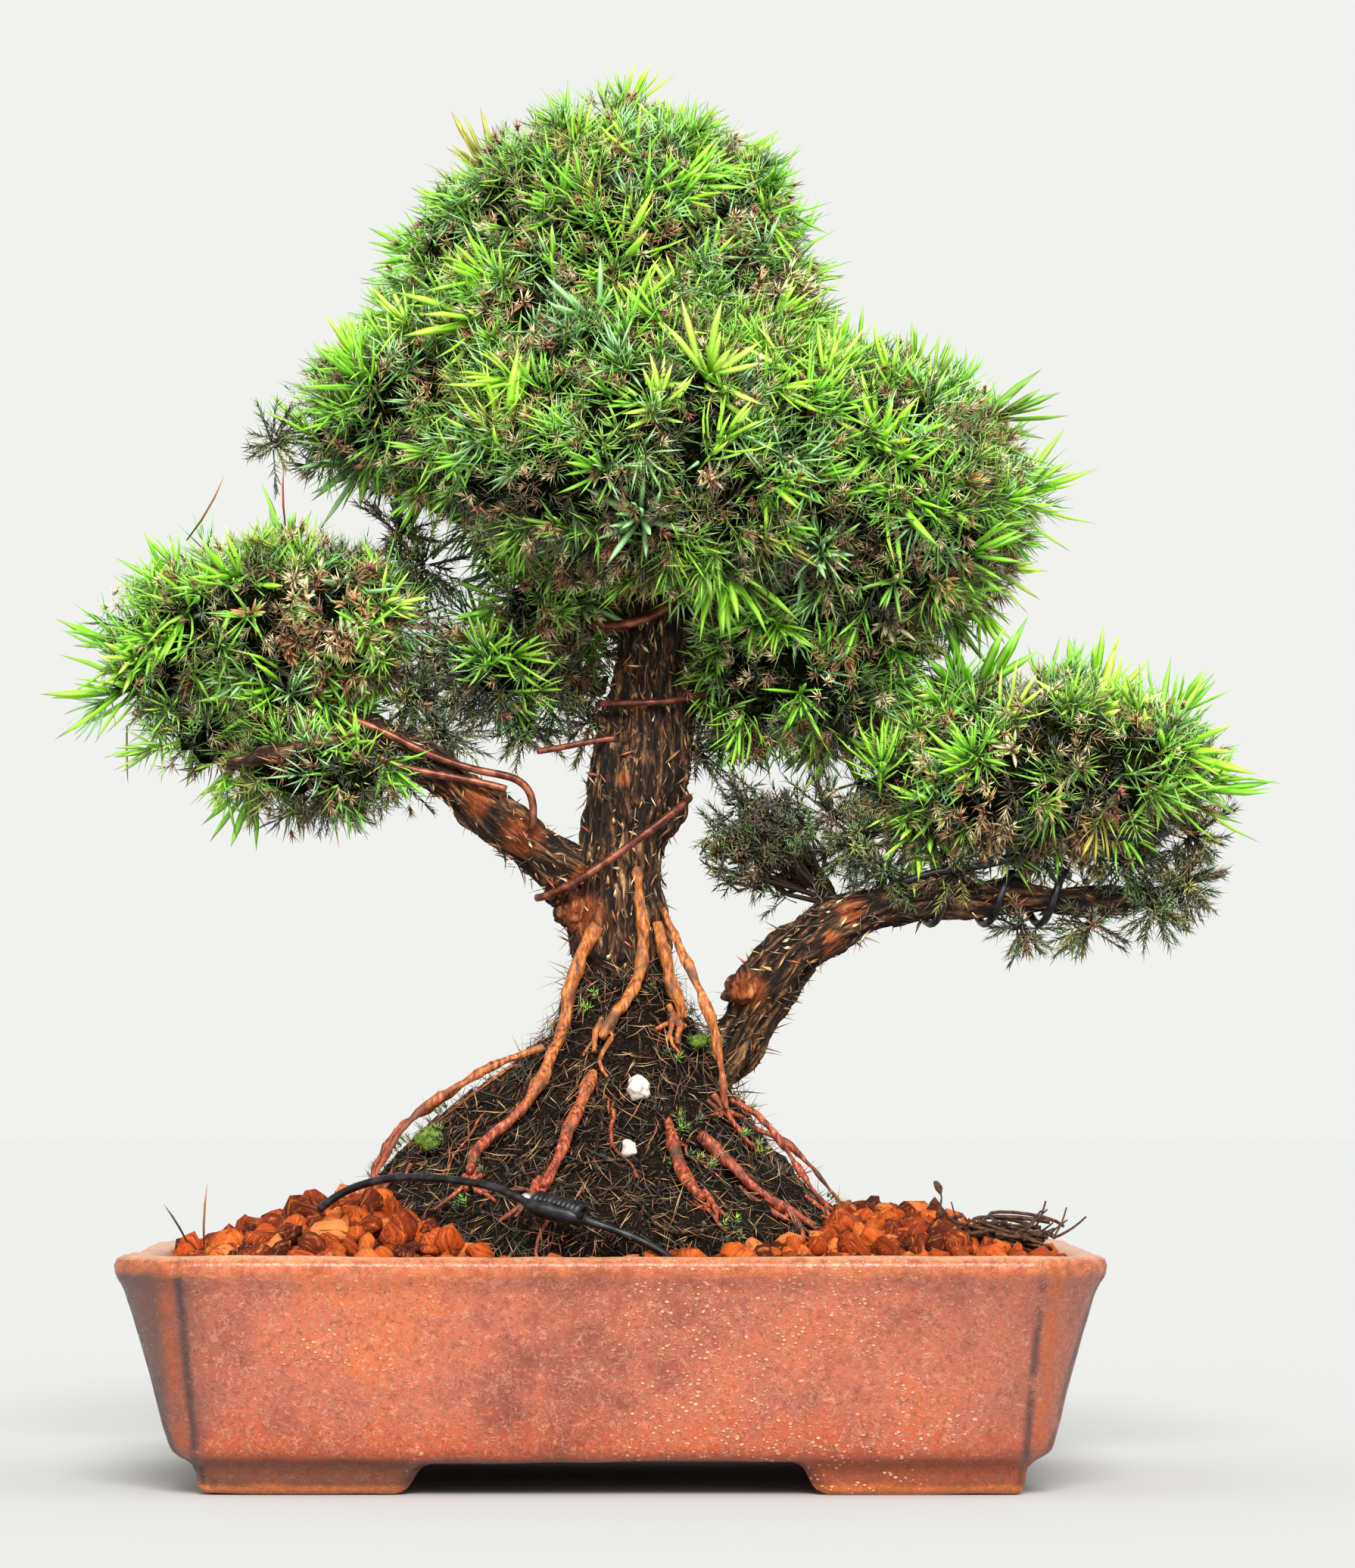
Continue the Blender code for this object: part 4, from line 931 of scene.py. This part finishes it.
# The shoots that stand out, in each mass: x and height above the rim, the way they point, size and tone.
SHOOTS = {
    "crown": (
        (-22, 161, (-1, -0.7, -0.25), 1.25, 10), (-19, 167, (-0.9, -0.8, 0.35), 1, 9),
        (1, 171, (0.55, -0.7, 1), 1.1, 10), (46, 139, (0.1, -1, 0.1), 1.05, 10),
        (48, 131, (0.6, -0.8, -0.8), 1.25, 9), (-18, 139, (0.15, -0.7, 1), 1.2, 10),
        (-42, 148, (-0.5, -0.8, 0.7), 0.9, 8), (13, 161, (-0.4, -0.8, 0.7), 1, 11),
        (16, 148, (0.3, -0.9, 0.3), 1.1, 11), (25, 133, (0.7, -0.8, -0.7), 0.9, 10),
        (33, 176, (0.5, -0.3, 1), 1.1, 8), (21, 194, (1, -0.5, 0.35), 1.1, 9),
        (-25, 192, (-0.5, -0.3, 1), 1, 13), (-35, 178, (-1, -0.3, 0.2), 1.1, 8),
        (66, 146, (0.9, -0.4, 0.3), 1.2, 4), (73, 132, (0.9, -0.5, 0.6), 1.1, 9),
        (34, 121, (0.1, -1, -0.1), 0.9, 7), (27, 112, (0, -1, -0.1), 1, 4),
        (19, 119, (0.15, -0.8, -1), 1.15, 9), (-2, 158, (-0.3, -0.9, 0.3), 1, 7),
        (5, 125, (-0.2, -1, 0.1), 0.9, 7), (-24, 117, (-1, -0.7, -0.5), 0.9, 8),
        (-33, 127, (-0.8, -0.8, -0.4), 1.1, 8), (-46, 137, (-0.8, -0.8, -0.2), 1, 7),
        (8, 142, (0, -1, 0.5), 0.9, 11), (60, 120, (0.6, -0.8, 0.2), 1, 8),
        (38, 152, (0.4, -0.9, 0.4), 0.9, 8), (-8, 180, (-0.5, -0.9, 0.2), 0.9, 8),
        (10, 184, (0.7, -0.8, 0.3), 0.9, 9), (42, 80, (0.7, -0.8, -0.6), 1.1, 5),
        (-3, 110, (0.2, -1, -0.3), 0.8, 7), (-31, 131, (-0.6, -0.9, 0.1), 0.8, 19),
        (-20, 111, (-0.6, -0.9, -0.2), 0.65, 16), (-14, 108, (-0.2, -0.9, -0.4), 0.7, 15),
        (-8, 108, (0.2, -0.9, -0.3), 0.6, 17), (2, 108, (0.5, -0.9, 0.1), 0.7, 16),
        (5, 112, (-0.3, -0.9, 0.3), 0.55, 15), (-25, 107, (-0.9, -0.6, -0.1), 0.7, 15),
        (-18, 115, (-0.3, -1, 0.2), 0.5, 17), (13, 116, (0.3, -1, 0.1), 0.5, 16),
        (-12, 121, (0.4, -1, 0.2), 0.5, 17), (18, 131, (-0.4, -1, 0.1), 0.5, 17),
        (-6, 146, (0.4, -1, 0.3), 0.5, 16), (12, 171, (-0.4, -0.9, 0.3), 0.55, 16),
        (20, 176, (0.4, -0.9, 0.3), 0.55, 15), (-20, 176, (-0.4, -0.9, 0.3), 0.5, 17),
        (56, 116, (0.4, -0.9, -0.3), 0.6, 16), (48, 110, (0.1, -0.9, -0.5), 0.6, 17),
        (40, 104, (0.3, -0.9, -0.4), 0.65, 15), (60, 132, (0.6, -0.9, 0.2), 0.5, 16),
    ),
    "left": (
        (-58, 98, (-0.9, -0.9, -0.1), 1.25, 9), (-85, 98, (-1, -0.4, -0.1), 1.15, 9),
        (-74, 112, (-0.5, -0.9, -0.8), 1, 9), (-65, 116, (-0.5, -0.9, 0.2), 1, 9),
        (-78, 118, (-0.6, -0.6, 0.8), 1, 8), (-48, 116, (0.2, -0.9, -0.8), 1, 7),
        (-86, 106, (-1, -0.4, 0.4), 1, 8), (-68, 79, (-0.3, -0.7, -1), 1.1, 8),
        (-34, 100, (0.1, -0.9, -0.9), 0.9, 5), (-60, 123, (0.3, -0.6, 0.8), 0.9, 8),
        (-54, 112, (0.2, -1, 0.2), 0.55, 17), (-50, 108, (-0.3, -1, 0), 0.6, 16),
        (-47, 112, (0.4, -1, 0.3), 0.5, 16), (-57, 105, (0.1, -1, -0.3), 0.55, 15),
        (-44, 105, (0.5, -1, -0.2), 0.55, 17), (-52, 100, (0.2, -1, -0.4), 0.5, 15),
        (-62, 110, (-0.4, -1, 0.1), 0.5, 16), (-40, 110, (0.7, -0.8, 0.1), 0.6, 15),
        (-72, 100, (-0.6, -0.9, -0.4), 0.55, 15), (-66, 88, (-0.2, -0.9, -0.5), 0.5, 16),
    ),
    "right": (
        (85, 92, (0.05, -1, 0.05), 1.3, 11), (64, 97, (-0.1, -1, 0.3), 1.4, 8),
        (45, 68, (0, -0.8, -1), 1.2, 10), (53, 68, (0.15, -0.8, -1), 1.15, 10),
        (99, 80, (1, -0.4, 0.1), 1.1, 8), (97, 87, (0.5, -0.9, -0.2), 1.25, 10),
        (64, 83, (-0.9, -0.8, 0.1), 1, 9), (86, 103, (0.1, -0.4, 1), 1, 9),
        (57, 77, (-0.6, -0.9, 0.3), 0.8, 9), (97, 97, (0.5, -0.5, 0.8), 1, 8),
        (76, 78, (0.2, -1, -0.2), 0.6, 16), (70, 86, (-0.3, -1, 0.2), 0.5, 17),
        (80, 72, (0.3, -1, -0.4), 0.6, 15), (92, 96, (0.4, -0.9, 0.4), 0.5, 16),
        (56, 84, (-0.5, -1, 0.1), 0.55, 17), (66, 73, (0.1, -1, -0.4), 0.55, 16),
    ),
}


# Loose dark tufts of old growth at the masses' edges: x, y, height above the rim, reach and count.
TUFTS = {
    "crown": (
        (-9, 3, 99, 5, 60), (-4, 4, 93, 4, 36), (-16, 2, 92, 4, 36), (-34, 0, 120, 5, 50),
        (-38, 0, 126, 4, 30), (50, 4, 104, 5, 44), (20, 3, 92, 5, 44), (14, 3, 88, 4, 30),
        (-60, 0, 142, 3, 20),
    ),
    "left": (
        (-35, -3, 96, 5, 60), (-30, -4, 90, 4, 36), (-40, -4, 85, 5, 44), (-33, 0, 104, 4, 30),
        (-50, -6, 80, 5, 36),
    ),
    "right": (
        (43, -3, 71, 5, 70), (48, -6, 66, 4, 44), (38, -2, 76, 4, 36), (100, 0, 64, 4, 50),
        (95, -2, 60, 4, 40), (84, -2, 57, 4, 30), (72, -2, 56, 3, 20), (102, -2, 72, 4, 36),
        (60, -8, 66, 4, 30), (90, -4, 68, 4, 36),
    ),
}

# Where dead needles have caught on the front of each mass: x, height above the rim, and reach.
DEAD_PATCHES = {
    "crown": ((-25, 112, 8), (-12, 111, 8), (2, 111, 8), (-18, 160, 5), (24, 165, 5)),
    "left": ((-52, 112, 8), (-45, 105, 7)),
    "right": ((66, 79, 5), (84, 76, 5)),
}


class Mass:
    """One lump of foliage: its inside, painted dark as shade, and the growths on it, kept pad by pad."""

    def __init__(self, name, seed):
        self.name = name
        self.pads = MASSES[name]
        self.rng = np.random.default_rng(seed)
        self.mesh = shaded_pad_inside(f"{name}_inside", self.pads).data
        patterns = {"sprigs": TINY_NEEDLE, "shoots": NEEDLE, "new_growth": LONG_NEEDLE}
        self.growths = {kind: [Growth(pattern) for _ in self.pads] for kind, pattern in patterns.items()}

    def growth_at(self, kind, feet):
        """The growth of the pad that the first of the feet is nearest to."""
        return self.growths[kind][nearest_pad(feet[:1], self.pads)[0]]

    def strew(self, kind, feet, ways, tones, **shape):
        """Shoots at all the feet, each in the growth of its nearest pad."""
        owner = nearest_pad(feet, self.pads)
        for i, growth in enumerate(self.growths[kind]):
            mine = owner == i
            growth.shoots(self.rng, feet[mine], ways[mine], tones[mine], **shape)

    def cover(self, kind, per_area, sink, spread, rise, tones, under, shaded=0.0, **shape):
        """Shoots all over, one to each per_area square millimetres. They stand a way out within the
        two ends of sink, and lean aside by the spread and up by the rise. The under tones are painted
        shade: darker tones for shoots on the underside, turned from the light, and for the shaded share of
        them, the deepest."""
        rng = self.rng
        spots, outward = random_spots(rng, self.mesh, per_area)
        ways = unit(outward + rng.normal(0, spread, outward.shape) + np.array((0, 0, rise)))
        lift = rng.uniform(*sink, len(spots))
        deep = lift < sink[0] + shaded * (sink[1] - sink[0])
        below = rng.random(len(spots)) < np.clip(-0.2 - 1.3 * outward[:, 2], 0, 0.9)
        # Painted shade: shoots below or deep in the mass take the darker under tones.
        shade = np.where(below | deep, rng.choice(under, len(spots)), rng.choice(tones, len(spots)))
        self.strew(kind, spots + outward * lift[:, None] * MM, ways, shade, **shape)

    def catch_dead_needles(self):
        rng = self.rng
        spots, outward = random_spots(rng, self.mesh, 7.0)
        for x, height, reach in DEAD_PATCHES[self.name]:
            middle = at(x, 0, height)
            away = np.hypot(spots[:, 0] - middle.x, spots[:, 2] - middle.z)
            caught = (away < rng.uniform(0.4, 1.3, len(spots)) * reach * MM) & (outward[:, 1] < 0)
            feet = spots[caught] + outward[caught] * rng.uniform(2.5, 5.0, (caught.sum(), 1)) * MM
            ways = unit(outward[caught] + rng.normal(0, 0.6, feet.shape))
            self.strew("sprigs", feet, ways, rng.choice(DRY, len(feet)), stem=2.0, count=11, length=2.6,
                       width=1.1, lean=(78, 20), curl=0.35)

    def add_tufts(self):
        rng = self.rng
        for x, y, height, reach, count in TUFTS[self.name]:
            middle = np.array(at(x, y, height))
            feet = middle + rng.normal(0, reach * 0.35, (count, 3)) * MM
            ways = unit(feet - middle + rng.normal(0, 0.5, (count, 3)) * MM)
            self.growth_at("sprigs", feet).shoots(
                rng, feet, ways, rng.choice(OLD_GROWTH, count), stem=5.5, count=18, length=2.1, width=0.8,
                lean=(58, 34), curl=0.1, bark=1.2,
            )

    def add_shoots(self):
        """The shoots that stand out, long and green, or short, wide and curled where they're dry."""
        front = surface_tree(self.mesh)
        for x, height, way, size, shade in SHOOTS[self.name]:
            spot = at(x, 0, height)
            hit = front.ray_cast(Vector((spot.x, FAR_IN_FRONT, spot.z)), BACKWARDS)[0]
            if hit is None:
                hit = front.find_nearest(spot)[0]
            along = np.array([Vector(way).normalized()])
            foot = np.array([hit]) + along * (9.0 * (1 - size) - 2.5) * MM + np.array((0, MM, 0))
            if shade in DRY:
                shape = {"stem": 3.4 * size, "length": 6.4 * size, "width": 1.5 * size, "lean": (84, 20),
                         "curl": 0.5, "bark_tone": 15, "scatter": 28}
            else:
                shape = {"stem": 7.0 * size, "length": 10.6 * size, "width": 1.3 * size, "lean": (72, 14),
                         "curl": 0.1, "bark_tone": 10, "scatter": 10}
            self.growth_at("new_growth", foot).shoots(self.rng, foot, along, np.array([shade]), count=16,
                                                      bark=1.3, **shape)

    def finish(self):
        for kind, growths in self.growths.items():
            for pad, growth in zip(self.pads, growths):
                if growth.rows:
                    made = growth.make(f"{pad}_{kind}")
                    finish_piece(made, NEEDLES, "foliage", *([pad] if kind == "sprigs" else []))


def grow_foliage():
    """Every mass's foliage, from the fine and dense to the long and rare."""
    for index, name in enumerate(MASSES):
        mass = Mass(name, 100 + index)
        mass.cover("sprigs", 3.8, (-3.0, 5.0), 0.8, 0.1, FINE, SHADE_AND_DEAD_TONES, shaded=0.52, stem=3.0, count=10,
                   length=2.4, width=0.4, lean=(72, 35), curl=0.25)
        mass.cover("sprigs", 15.0, (1.5, 6.3), 0.8, 0.0, DRY, DRY, stem=1.6, count=10,
                   length=1.9, width=0.8, lean=(75, 20), curl=0.3)
        mass.cover("shoots", 29.0, (-1.5, 3.5), 0.75, 0.15, PLAIN, SHADE_AND_DEAD_TONES, shaded=0.3, stem=4.6, count=16,
                   length=4.4, width=0.46, lean=(66, 26), bark=0.7, bark_tone=13)
        mass.cover("shoots", 70.0, (-1.0, 2.5), 0.85, 0.15, BLUISH, PLAIN, stem=5.0, count=13,
                   length=6.4, width=0.66, lean=(70, 26), bark=0.8, bark_tone=8)
        mass.cover("new_growth", 130.0, (-1.0, 2.5), 0.9, 0.15, FRESH, PLAIN, stem=5.0, count=13,
                   length=6.8, width=0.8, lean=(66, 20), bark=0.9, bark_tone=9)
        mass.cover("new_growth", 520.0, (0.0, 2.0), 1.0, 0.2, LIME, FRESH, stem=5.0, count=13,
                   length=8.0, width=1.0, lean=(68, 16), bark=1.1, bark_tone=10)
        mass.catch_dead_needles()
        mass.add_tufts()
        mass.add_shoots()
        mass.finish()


def make_inner_twigs():
    """The sparse old twigs between the crown and the right branch."""
    rng = np.random.default_rng(61)
    low, high = (np.array(corner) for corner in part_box("right_pad_inner"))
    middle, reach = (low + high) / 2, (high - low) / 2
    sprigs = Growth(TINY_NEEDLE)
    paths = []
    for _ in range(58):
        way = unit(rng.normal(size=3) + np.array((-0.25, -0.2, 0.0)))
        tip = middle + way * reach * rng.uniform(0.55, 1.15)
        start = np.array(at(41, -2, 58).lerp(at(24, 8, 75), rng.uniform(0.1, 1.0)))
        bend = (start + tip) / 2 + rng.normal(0, 2.0, 3) * MM
        halves = ((start, bend, 0), (start, bend, 0.5), (bend, tip, 0), (bend, tip, 0.5), (bend, tip, 1))
        points = [first + (last - first) * share for first, last, share in halves]
        paths.append([(*p, 0.55 - 0.08 * k) for k, p in enumerate(points)])
        feet = np.array([points[k] for k in (2, 3, 3, 4, 4)]) + rng.normal(0, 1.2, (5, 3)) * MM
        ways = unit(np.array([tip - start] * 5) * 60 + rng.normal(0, 0.9, (5, 3)))
        sprigs.shoots(rng, feet, ways, rng.choice(OLD_GROWTH + (14, 14), 5), stem=4.0, count=15, length=1.9,
                      width=0.75, lean=(60, 34), curl=0.1, bark=1.1)
    finish_piece(sprigs.make("right_pad_inner_sprigs"), NEEDLES, "foliage", "right_pad_inner")
    finish_piece(strands("right_pad_inner_twigs", paths), BARK_ALONG, "bark")


# ---------------------------------------------------------------- chips and fibres


def strands(name, paths, sides=0):
    """Thin round strands; each path's points are x, y, z in metres and the radius in millimetres."""
    curve = bpy.data.curves.new(name, "CURVE")
    curve.dimensions = "3D"
    curve.bevel_depth = MM
    curve.bevel_resolution = sides
    curve.use_fill_caps = True
    for path in paths:
        spline = curve.splines.new("POLY")
        spline.points.add(len(path) - 1)
        for point, (x, y, z, radius) in zip(spline.points, path):
            point.co = (x, y, z, 1)
            point.radius = radius
    select_only(new_object(name, curve))
    bpy.ops.object.convert(target="MESH")
    made = bpy.context.object
    made.data.shade_smooth()
    return made


def make_chips():
    """Bark chips and shreds that lift from the trunk and the branches."""
    axes = {"trunk": (0, 0, -1), "left_branch": (0.85, 0, -0.5), "right_branch": (-0.8, 0, -0.4)}
    for index, (node, axis) in enumerate(axes.items()):
        rng = np.random.default_rng(300 + index)
        chips = Growth(NEEDLE)
        spots, outward = random_spots(rng, NODES[node].data, 3.6 if node == "trunk" else 2.6)
        count = len(spots)
        side = rng.choice((-1, 1), (count, 1))
        ways = np.array(axis) * side + rng.normal(0, 0.45, (count, 3))
        ways = unit(ways + outward * rng.uniform(0.0, 0.6, (count, 1)))
        chips.needles(spots - outward * 0.2 * MM, ways, unit(outward + ways * 0.1),
                      rng.uniform(1.2, 3.6, count), rng.uniform(0.35, 1.1, count),
                      rng.normal(0.1, 0.25, count), rng.choice(CHIPS, count))
        finish_piece(chips.make(f"{node}_chips"), NEEDLES, "bark")


CRAWL_STEP = 2  # millimetres between the points of a fine root


def crawl(rng, surface, start, way, length, lift, wander):
    """Points along a surface from a start, wandering to the sides."""
    spot, heading = Vector(start), Vector(way).normalized()
    points = []
    for _ in range(max(3, int(length / CRAWL_STEP))):
        near, normal, _, _ = surface.find_nearest(spot)
        points.append(near + normal * lift * MM)
        heading = (heading + Vector(rng.normal(0, wander, 3))).normalized()
        heading = (heading - normal * heading.dot(normal)).normalized()
        spot = near + heading * CRAWL_STEP * MM
    return points


def tapered(points, thick, taper):
    """A strand's path that is thinner towards its end."""
    return [(*point, thick * (1 - taper * k / len(points))) for k, point in enumerate(points)]


def outward_from_pot(place):
    return Vector((place[0] - MIDDLE.x, place[1] - MIDDLE.y, 0)).normalized()


def make_fibres():
    """Fine roots that creep down the mound, and the hairs and threads between them."""
    rng = np.random.default_rng(41)
    mesh = NODES["mound"].data
    surface = surface_tree(mesh)
    looks = (("red_fine_roots", ROOT_SKIN, 46, 0.42), ("dark_fine_roots", BARK_UP, 120, 0.36))
    for name, look, count, size in looks:
        spots, _ = random_spots(rng, mesh, 1.0)
        paths = []
        for spot in spots[rng.choice(len(spots), count)]:
            way = outward_from_pot(spot) * 0.6 - UP
            points = crawl(rng, surface, spot, way, rng.uniform(6, 26), -0.7, 0.3)
            paths.append(tapered(points, size * rng.uniform(0.6, 1.5), 0.55))
        finish_piece(strands(name, paths), look, "root")
    paths = []
    for node in ROOTS:
        foot = min((vert.co for vert in NODES[node].data.vertices), key=lambda place: place.z)
        way = outward_from_pot(foot) * 0.7 - UP
        for _ in range(5):
            start = foot + UP * rng.uniform(0, 5) * MM
            points = crawl(rng, surface, start, way, rng.uniform(6, 15), -0.3, 0.35)
            paths.append(tapered(points, rng.uniform(0.4, 0.85), 0.6))
    finish_piece(strands("root_forks", paths, 1), ROOT_SKIN, "root")
    hairs = Growth(NEEDLE)
    spots, outward = random_spots(rng, mesh, 1.9)
    count = len(spots)
    ways = np.cross(outward, rng.normal(size=(count, 3))) + outward * rng.uniform(0.0, 0.5, (count, 1))
    hairs.needles(spots - outward * 1.2 * MM, unit(ways + np.array((0, 0, -0.3))), outward,
                  rng.uniform(2.0, 7.0, count), rng.uniform(0.14, 0.4, count),
                  rng.normal(0, 0.3, count), rng.choice(HAIRS, count))
    finish_piece(hairs.make("mound_hairs"), NEEDLES, "mound")
    tufts = Growth(TINY_NEEDLE)
    keep = (patches(spots, 9.0, 3.0) > 0.4375) & (rng.random(len(spots)) < 0.5)
    for node in named("moss"):
        middle = np.array(sum((Vector(corner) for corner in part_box(node)), Vector()) / 2)
        keep |= np.linalg.norm(spots - middle, axis=1) < 2.6 * MM
    tufts.shoots(rng, spots[keep], outward[keep], rng.choice(MOSS_TONES, int(keep.sum())), stem=1.0,
                 count=10, length=1.3, width=0.45, lean=(70, 20))
    finish_piece(tufts.make("moss_tufts"), NEEDLES, "moss")


# ---------------------------------------------------------------- wires and small things


def make_wires():
    for node in named("wire_", "tie_wire"):
        piece = copy_of(f"{node}_metal", node)
        subdivide(piece)
        if node.startswith(("tie_wire", "wire_right")):
            finish_piece(piece, BLACK_WIRE, "black_wire", node)
        else:
            finish_piece(piece, BROWN_WIRE, "brown_wire", node)


# The twist in the tie: near where it starts and ends, its turns, and its strands' points.
TWIST_ENDS = ((-12.6, -51.0, 8.2), (-5.2, -52.8, 6.4))
TWIST_TURNS, TWIST_STEPS = 5, 60


def make_tie():
    """The tie's twist of two strands around it, and its cut end."""
    tie = surface_of("tie_wire")
    start, end = (tie.find_nearest(at(*spot))[0] + BACKWARDS * 0.9 * MM for spot in TWIST_ENDS)
    along = (end - start).normalized()
    aside = along.cross(UP).normalized()
    over = aside.cross(along)
    paths = []
    for half in (0, pi):
        path = []
        for k in range(TWIST_STEPS + 1):
            angle = 2 * pi * TWIST_TURNS * k / TWIST_STEPS + half
            around = (aside * cos(angle) + over * sin(angle)) * 1.15 * MM
            path.append((*(start.lerp(end, k / TWIST_STEPS) + around), 0.85))
        paths.append(path)
    finish_piece(strands("tie_wire_twist", paths, 2), BLACK_WIRE, "black_wire")
    nothing_selected()
    bpy.ops.mesh.primitive_uv_sphere_add(segments=20, ring_count=12, radius=1.25 * MM,
                                         location=start - along * 1.6 * MM + aside * 0.6 * MM)
    bead = bpy.context.object
    bead.name = "tie_wire_cut_end"
    bpy.ops.object.mode_set(mode="EDIT")
    bpy.ops.mesh.select_all(action="SELECT")
    bpy.ops.mesh.bisect(plane_co=bead.location - along * 0.8 * MM, plane_no=-along, clear_outer=True,
                        use_fill=True)
    bpy.ops.object.mode_set(mode="OBJECT")
    bpy.ops.object.transform_apply(location=True)
    finish_piece(bead, CUT_END, "black_wire")


def make_litter():
    """Loops and ends of dead fine roots on the gravel at the right."""
    rng = np.random.default_rng(77)
    low, high = (Vector(corner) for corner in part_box("dry_clump"))
    middle = (low + high) / 2
    paths = []
    for k in range(16):
        turn = rng.uniform(0, 2 * pi)
        wide, deep = rng.uniform(3.5, 8.0), rng.uniform(2.0, 4.5)
        lift = rng.uniform(0.6, 3.0)
        centre = middle + Vector((rng.uniform(-3.5, 4.0), rng.uniform(-2, 2), rng.uniform(-1.0, 0.8))) * MM
        angles = [turn + i * 0.42 for i in range(int(rng.uniform(9, 15)))]
        loop = [Vector((wide * cos(a), deep * sin(a), lift * sin(a * 0.7))) * MM for a in angles]
        paths.append([(*(centre + spot), 0.30 + 0.03 * (k % 4)) for spot in loop])
    for _ in range(26):
        start = middle + Vector((rng.uniform(-9, 8), rng.uniform(-4, 4), -1.0)) * MM
        way = Vector((rng.normal(), rng.normal() * 0.6, rng.uniform(0, 0.7))).normalized()
        bow = Vector(rng.normal(size=3)) * 1.2
        points = [start + way * i * 1.3 * MM + bow * (i / 5) ** 2 * MM for i in range(6)]
        paths.append([(*point, 0.26 - 0.02 * i) for i, point in enumerate(points)])
    finish_piece(strands("dry_clump_loops", paths), LITTER, "dry_litter", "dry_clump")


# Long spikes that stand alone: x, y and height above the rim, the way they point, length, curl and tone.
STRAY_SPIKES = (
    ((-75.5, -2, 124.5), (0.62, -0.1, 0.75), 13.5, 0.16, 15),
    ((-58.0, -3, 127.0), (-0.15, 0, 1.0), 10.5, -0.12, 18),
    ((-85.6, -5, 91.5), (-0.02, -0.1, -1.0), 10.5, 0.05, 12),
    ((-69.0, -40, 1.0), (-0.05, 0, 1.0), 11.0, -0.1, 15),
    ((-72.0, -39, 2.0), (-0.5, 0, 1.0), 7.5, 0.1, 14),
)
SPIKE_WIDTH = 1.1


def make_spikes():
    feet = np.array([at(*row[0]) for row in STRAY_SPIKES])
    ways = unit(np.array([row[1] for row in STRAY_SPIKES], float))
    length, curl, tone = (np.array([row[i] for row in STRAY_SPIKES]) for i in (2, 3, 4))
    spikes = Growth(LONG_NEEDLE)
    spikes.needles(feet, ways, unit(np.cross(ways, (0, 1, 0))), length, np.full(len(feet), SPIKE_WIDTH),
                   curl, tone)
    finish_piece(spikes.make("stray_spikes"), NEEDLES, "foliage")


def make_small_things():
    for beginning, look, slot in (("dry_twig", LITTER, "dry_litter"), ("moss", MOSS, "moss"),
                                  ("perlite", PERLITE, "perlite")):
        for node in named(beginning):
            piece = copy_of(f"{node}_bit", node)
            subdivide(piece)
            ruffle(piece, (0.7, 1.4, EVEN))
            finish_piece(piece, look, slot, node)


def finish_cad_nodes():
    """The finishes of the nodes that stay as they are."""
    for beginning, look in (("soil", DAMP_SOIL), ("drain_mesh", MESH_PLASTIC)):
        for node in named(beginning):
            NODES[node].data.materials.clear()
            NODES[node].data.materials.append(look)


# ---------------------------------------------------------------- studio


BACKDROP = srgb(241, 242, 239)
FLOOR = (0.515, 0.520, 0.514)  # under these lights it looks like the backdrop
# The camera: how far right of the pot's middle, in front of it and above the table it stands, in
# millimetres; how far up it looks, in degrees; and its lens.
CAMERA_ASIDE, CAMERA_AWAY, CAMERA_HEIGHT = 11.2, 1072, 69.3
CAMERA_RISE = 2.8
LENS = 139.5


def add_sun(name, azimuth, elevation, power, width):
    """A soft sun; azimuth 0 is straight in front, and the angles and its width are degrees."""
    data = bpy.data.lights.new(name, "SUN")
    data.energy = power
    data.angle = radians(width)
    new_object(name, data).rotation_euler = (radians(90 - elevation), 0, radians(azimuth))


def make_studio():
    """A pale floor, soft white light from above and in front, and the camera."""
    nothing_selected()
    bpy.ops.mesh.primitive_circle_add(vertices=96, radius=6.0, fill_type="NGON", location=(0, 0, -0.0001))
    floor = bpy.context.object
    floor.name = "floor"
    look = Look("pale_floor", 0.9, Specular_IOR_Level=0.0)
    floor.data.materials.append(look.paint(Base_Color=FLOOR))

    world = bpy.data.worlds.new("studio")
    bpy.context.scene.world = world
    world.use_nodes = True
    back = world.node_tree.nodes["Background"]
    back.inputs["Color"].default_value = (*BACKDROP, 1)
    back.inputs["Strength"].default_value = 1.0
    add_sun("key", 4, 36, 4.0, 26)
    add_sun("fill", 25, 20, 0.4, 70)

    camera = bpy.data.cameras.new("camera")
    camera.lens = LENS
    camera.sensor_width = 36.0
    camera.clip_end = 10.0
    stand = new_object("camera", camera)
    stand.location = (MIDDLE.x + CAMERA_ASIDE * MM, MIDDLE.y - CAMERA_AWAY * MM, CAMERA_HEIGHT * MM)
    stand.rotation_euler = (radians(90 + CAMERA_RISE), 0, 0)
    bpy.context.scene.camera = stand
    bpy.context.scene.view_settings.view_transform = "Standard"


make_studio()
make_pot()
make_gravel()
make_wood()
make_roots()
make_burls()
make_mound()
make_chips()
make_fibres()
make_wires()
make_tie()
make_small_things()
finish_cad_nodes()
make_litter()
make_spikes()
grow_foliage()
make_inner_twigs()
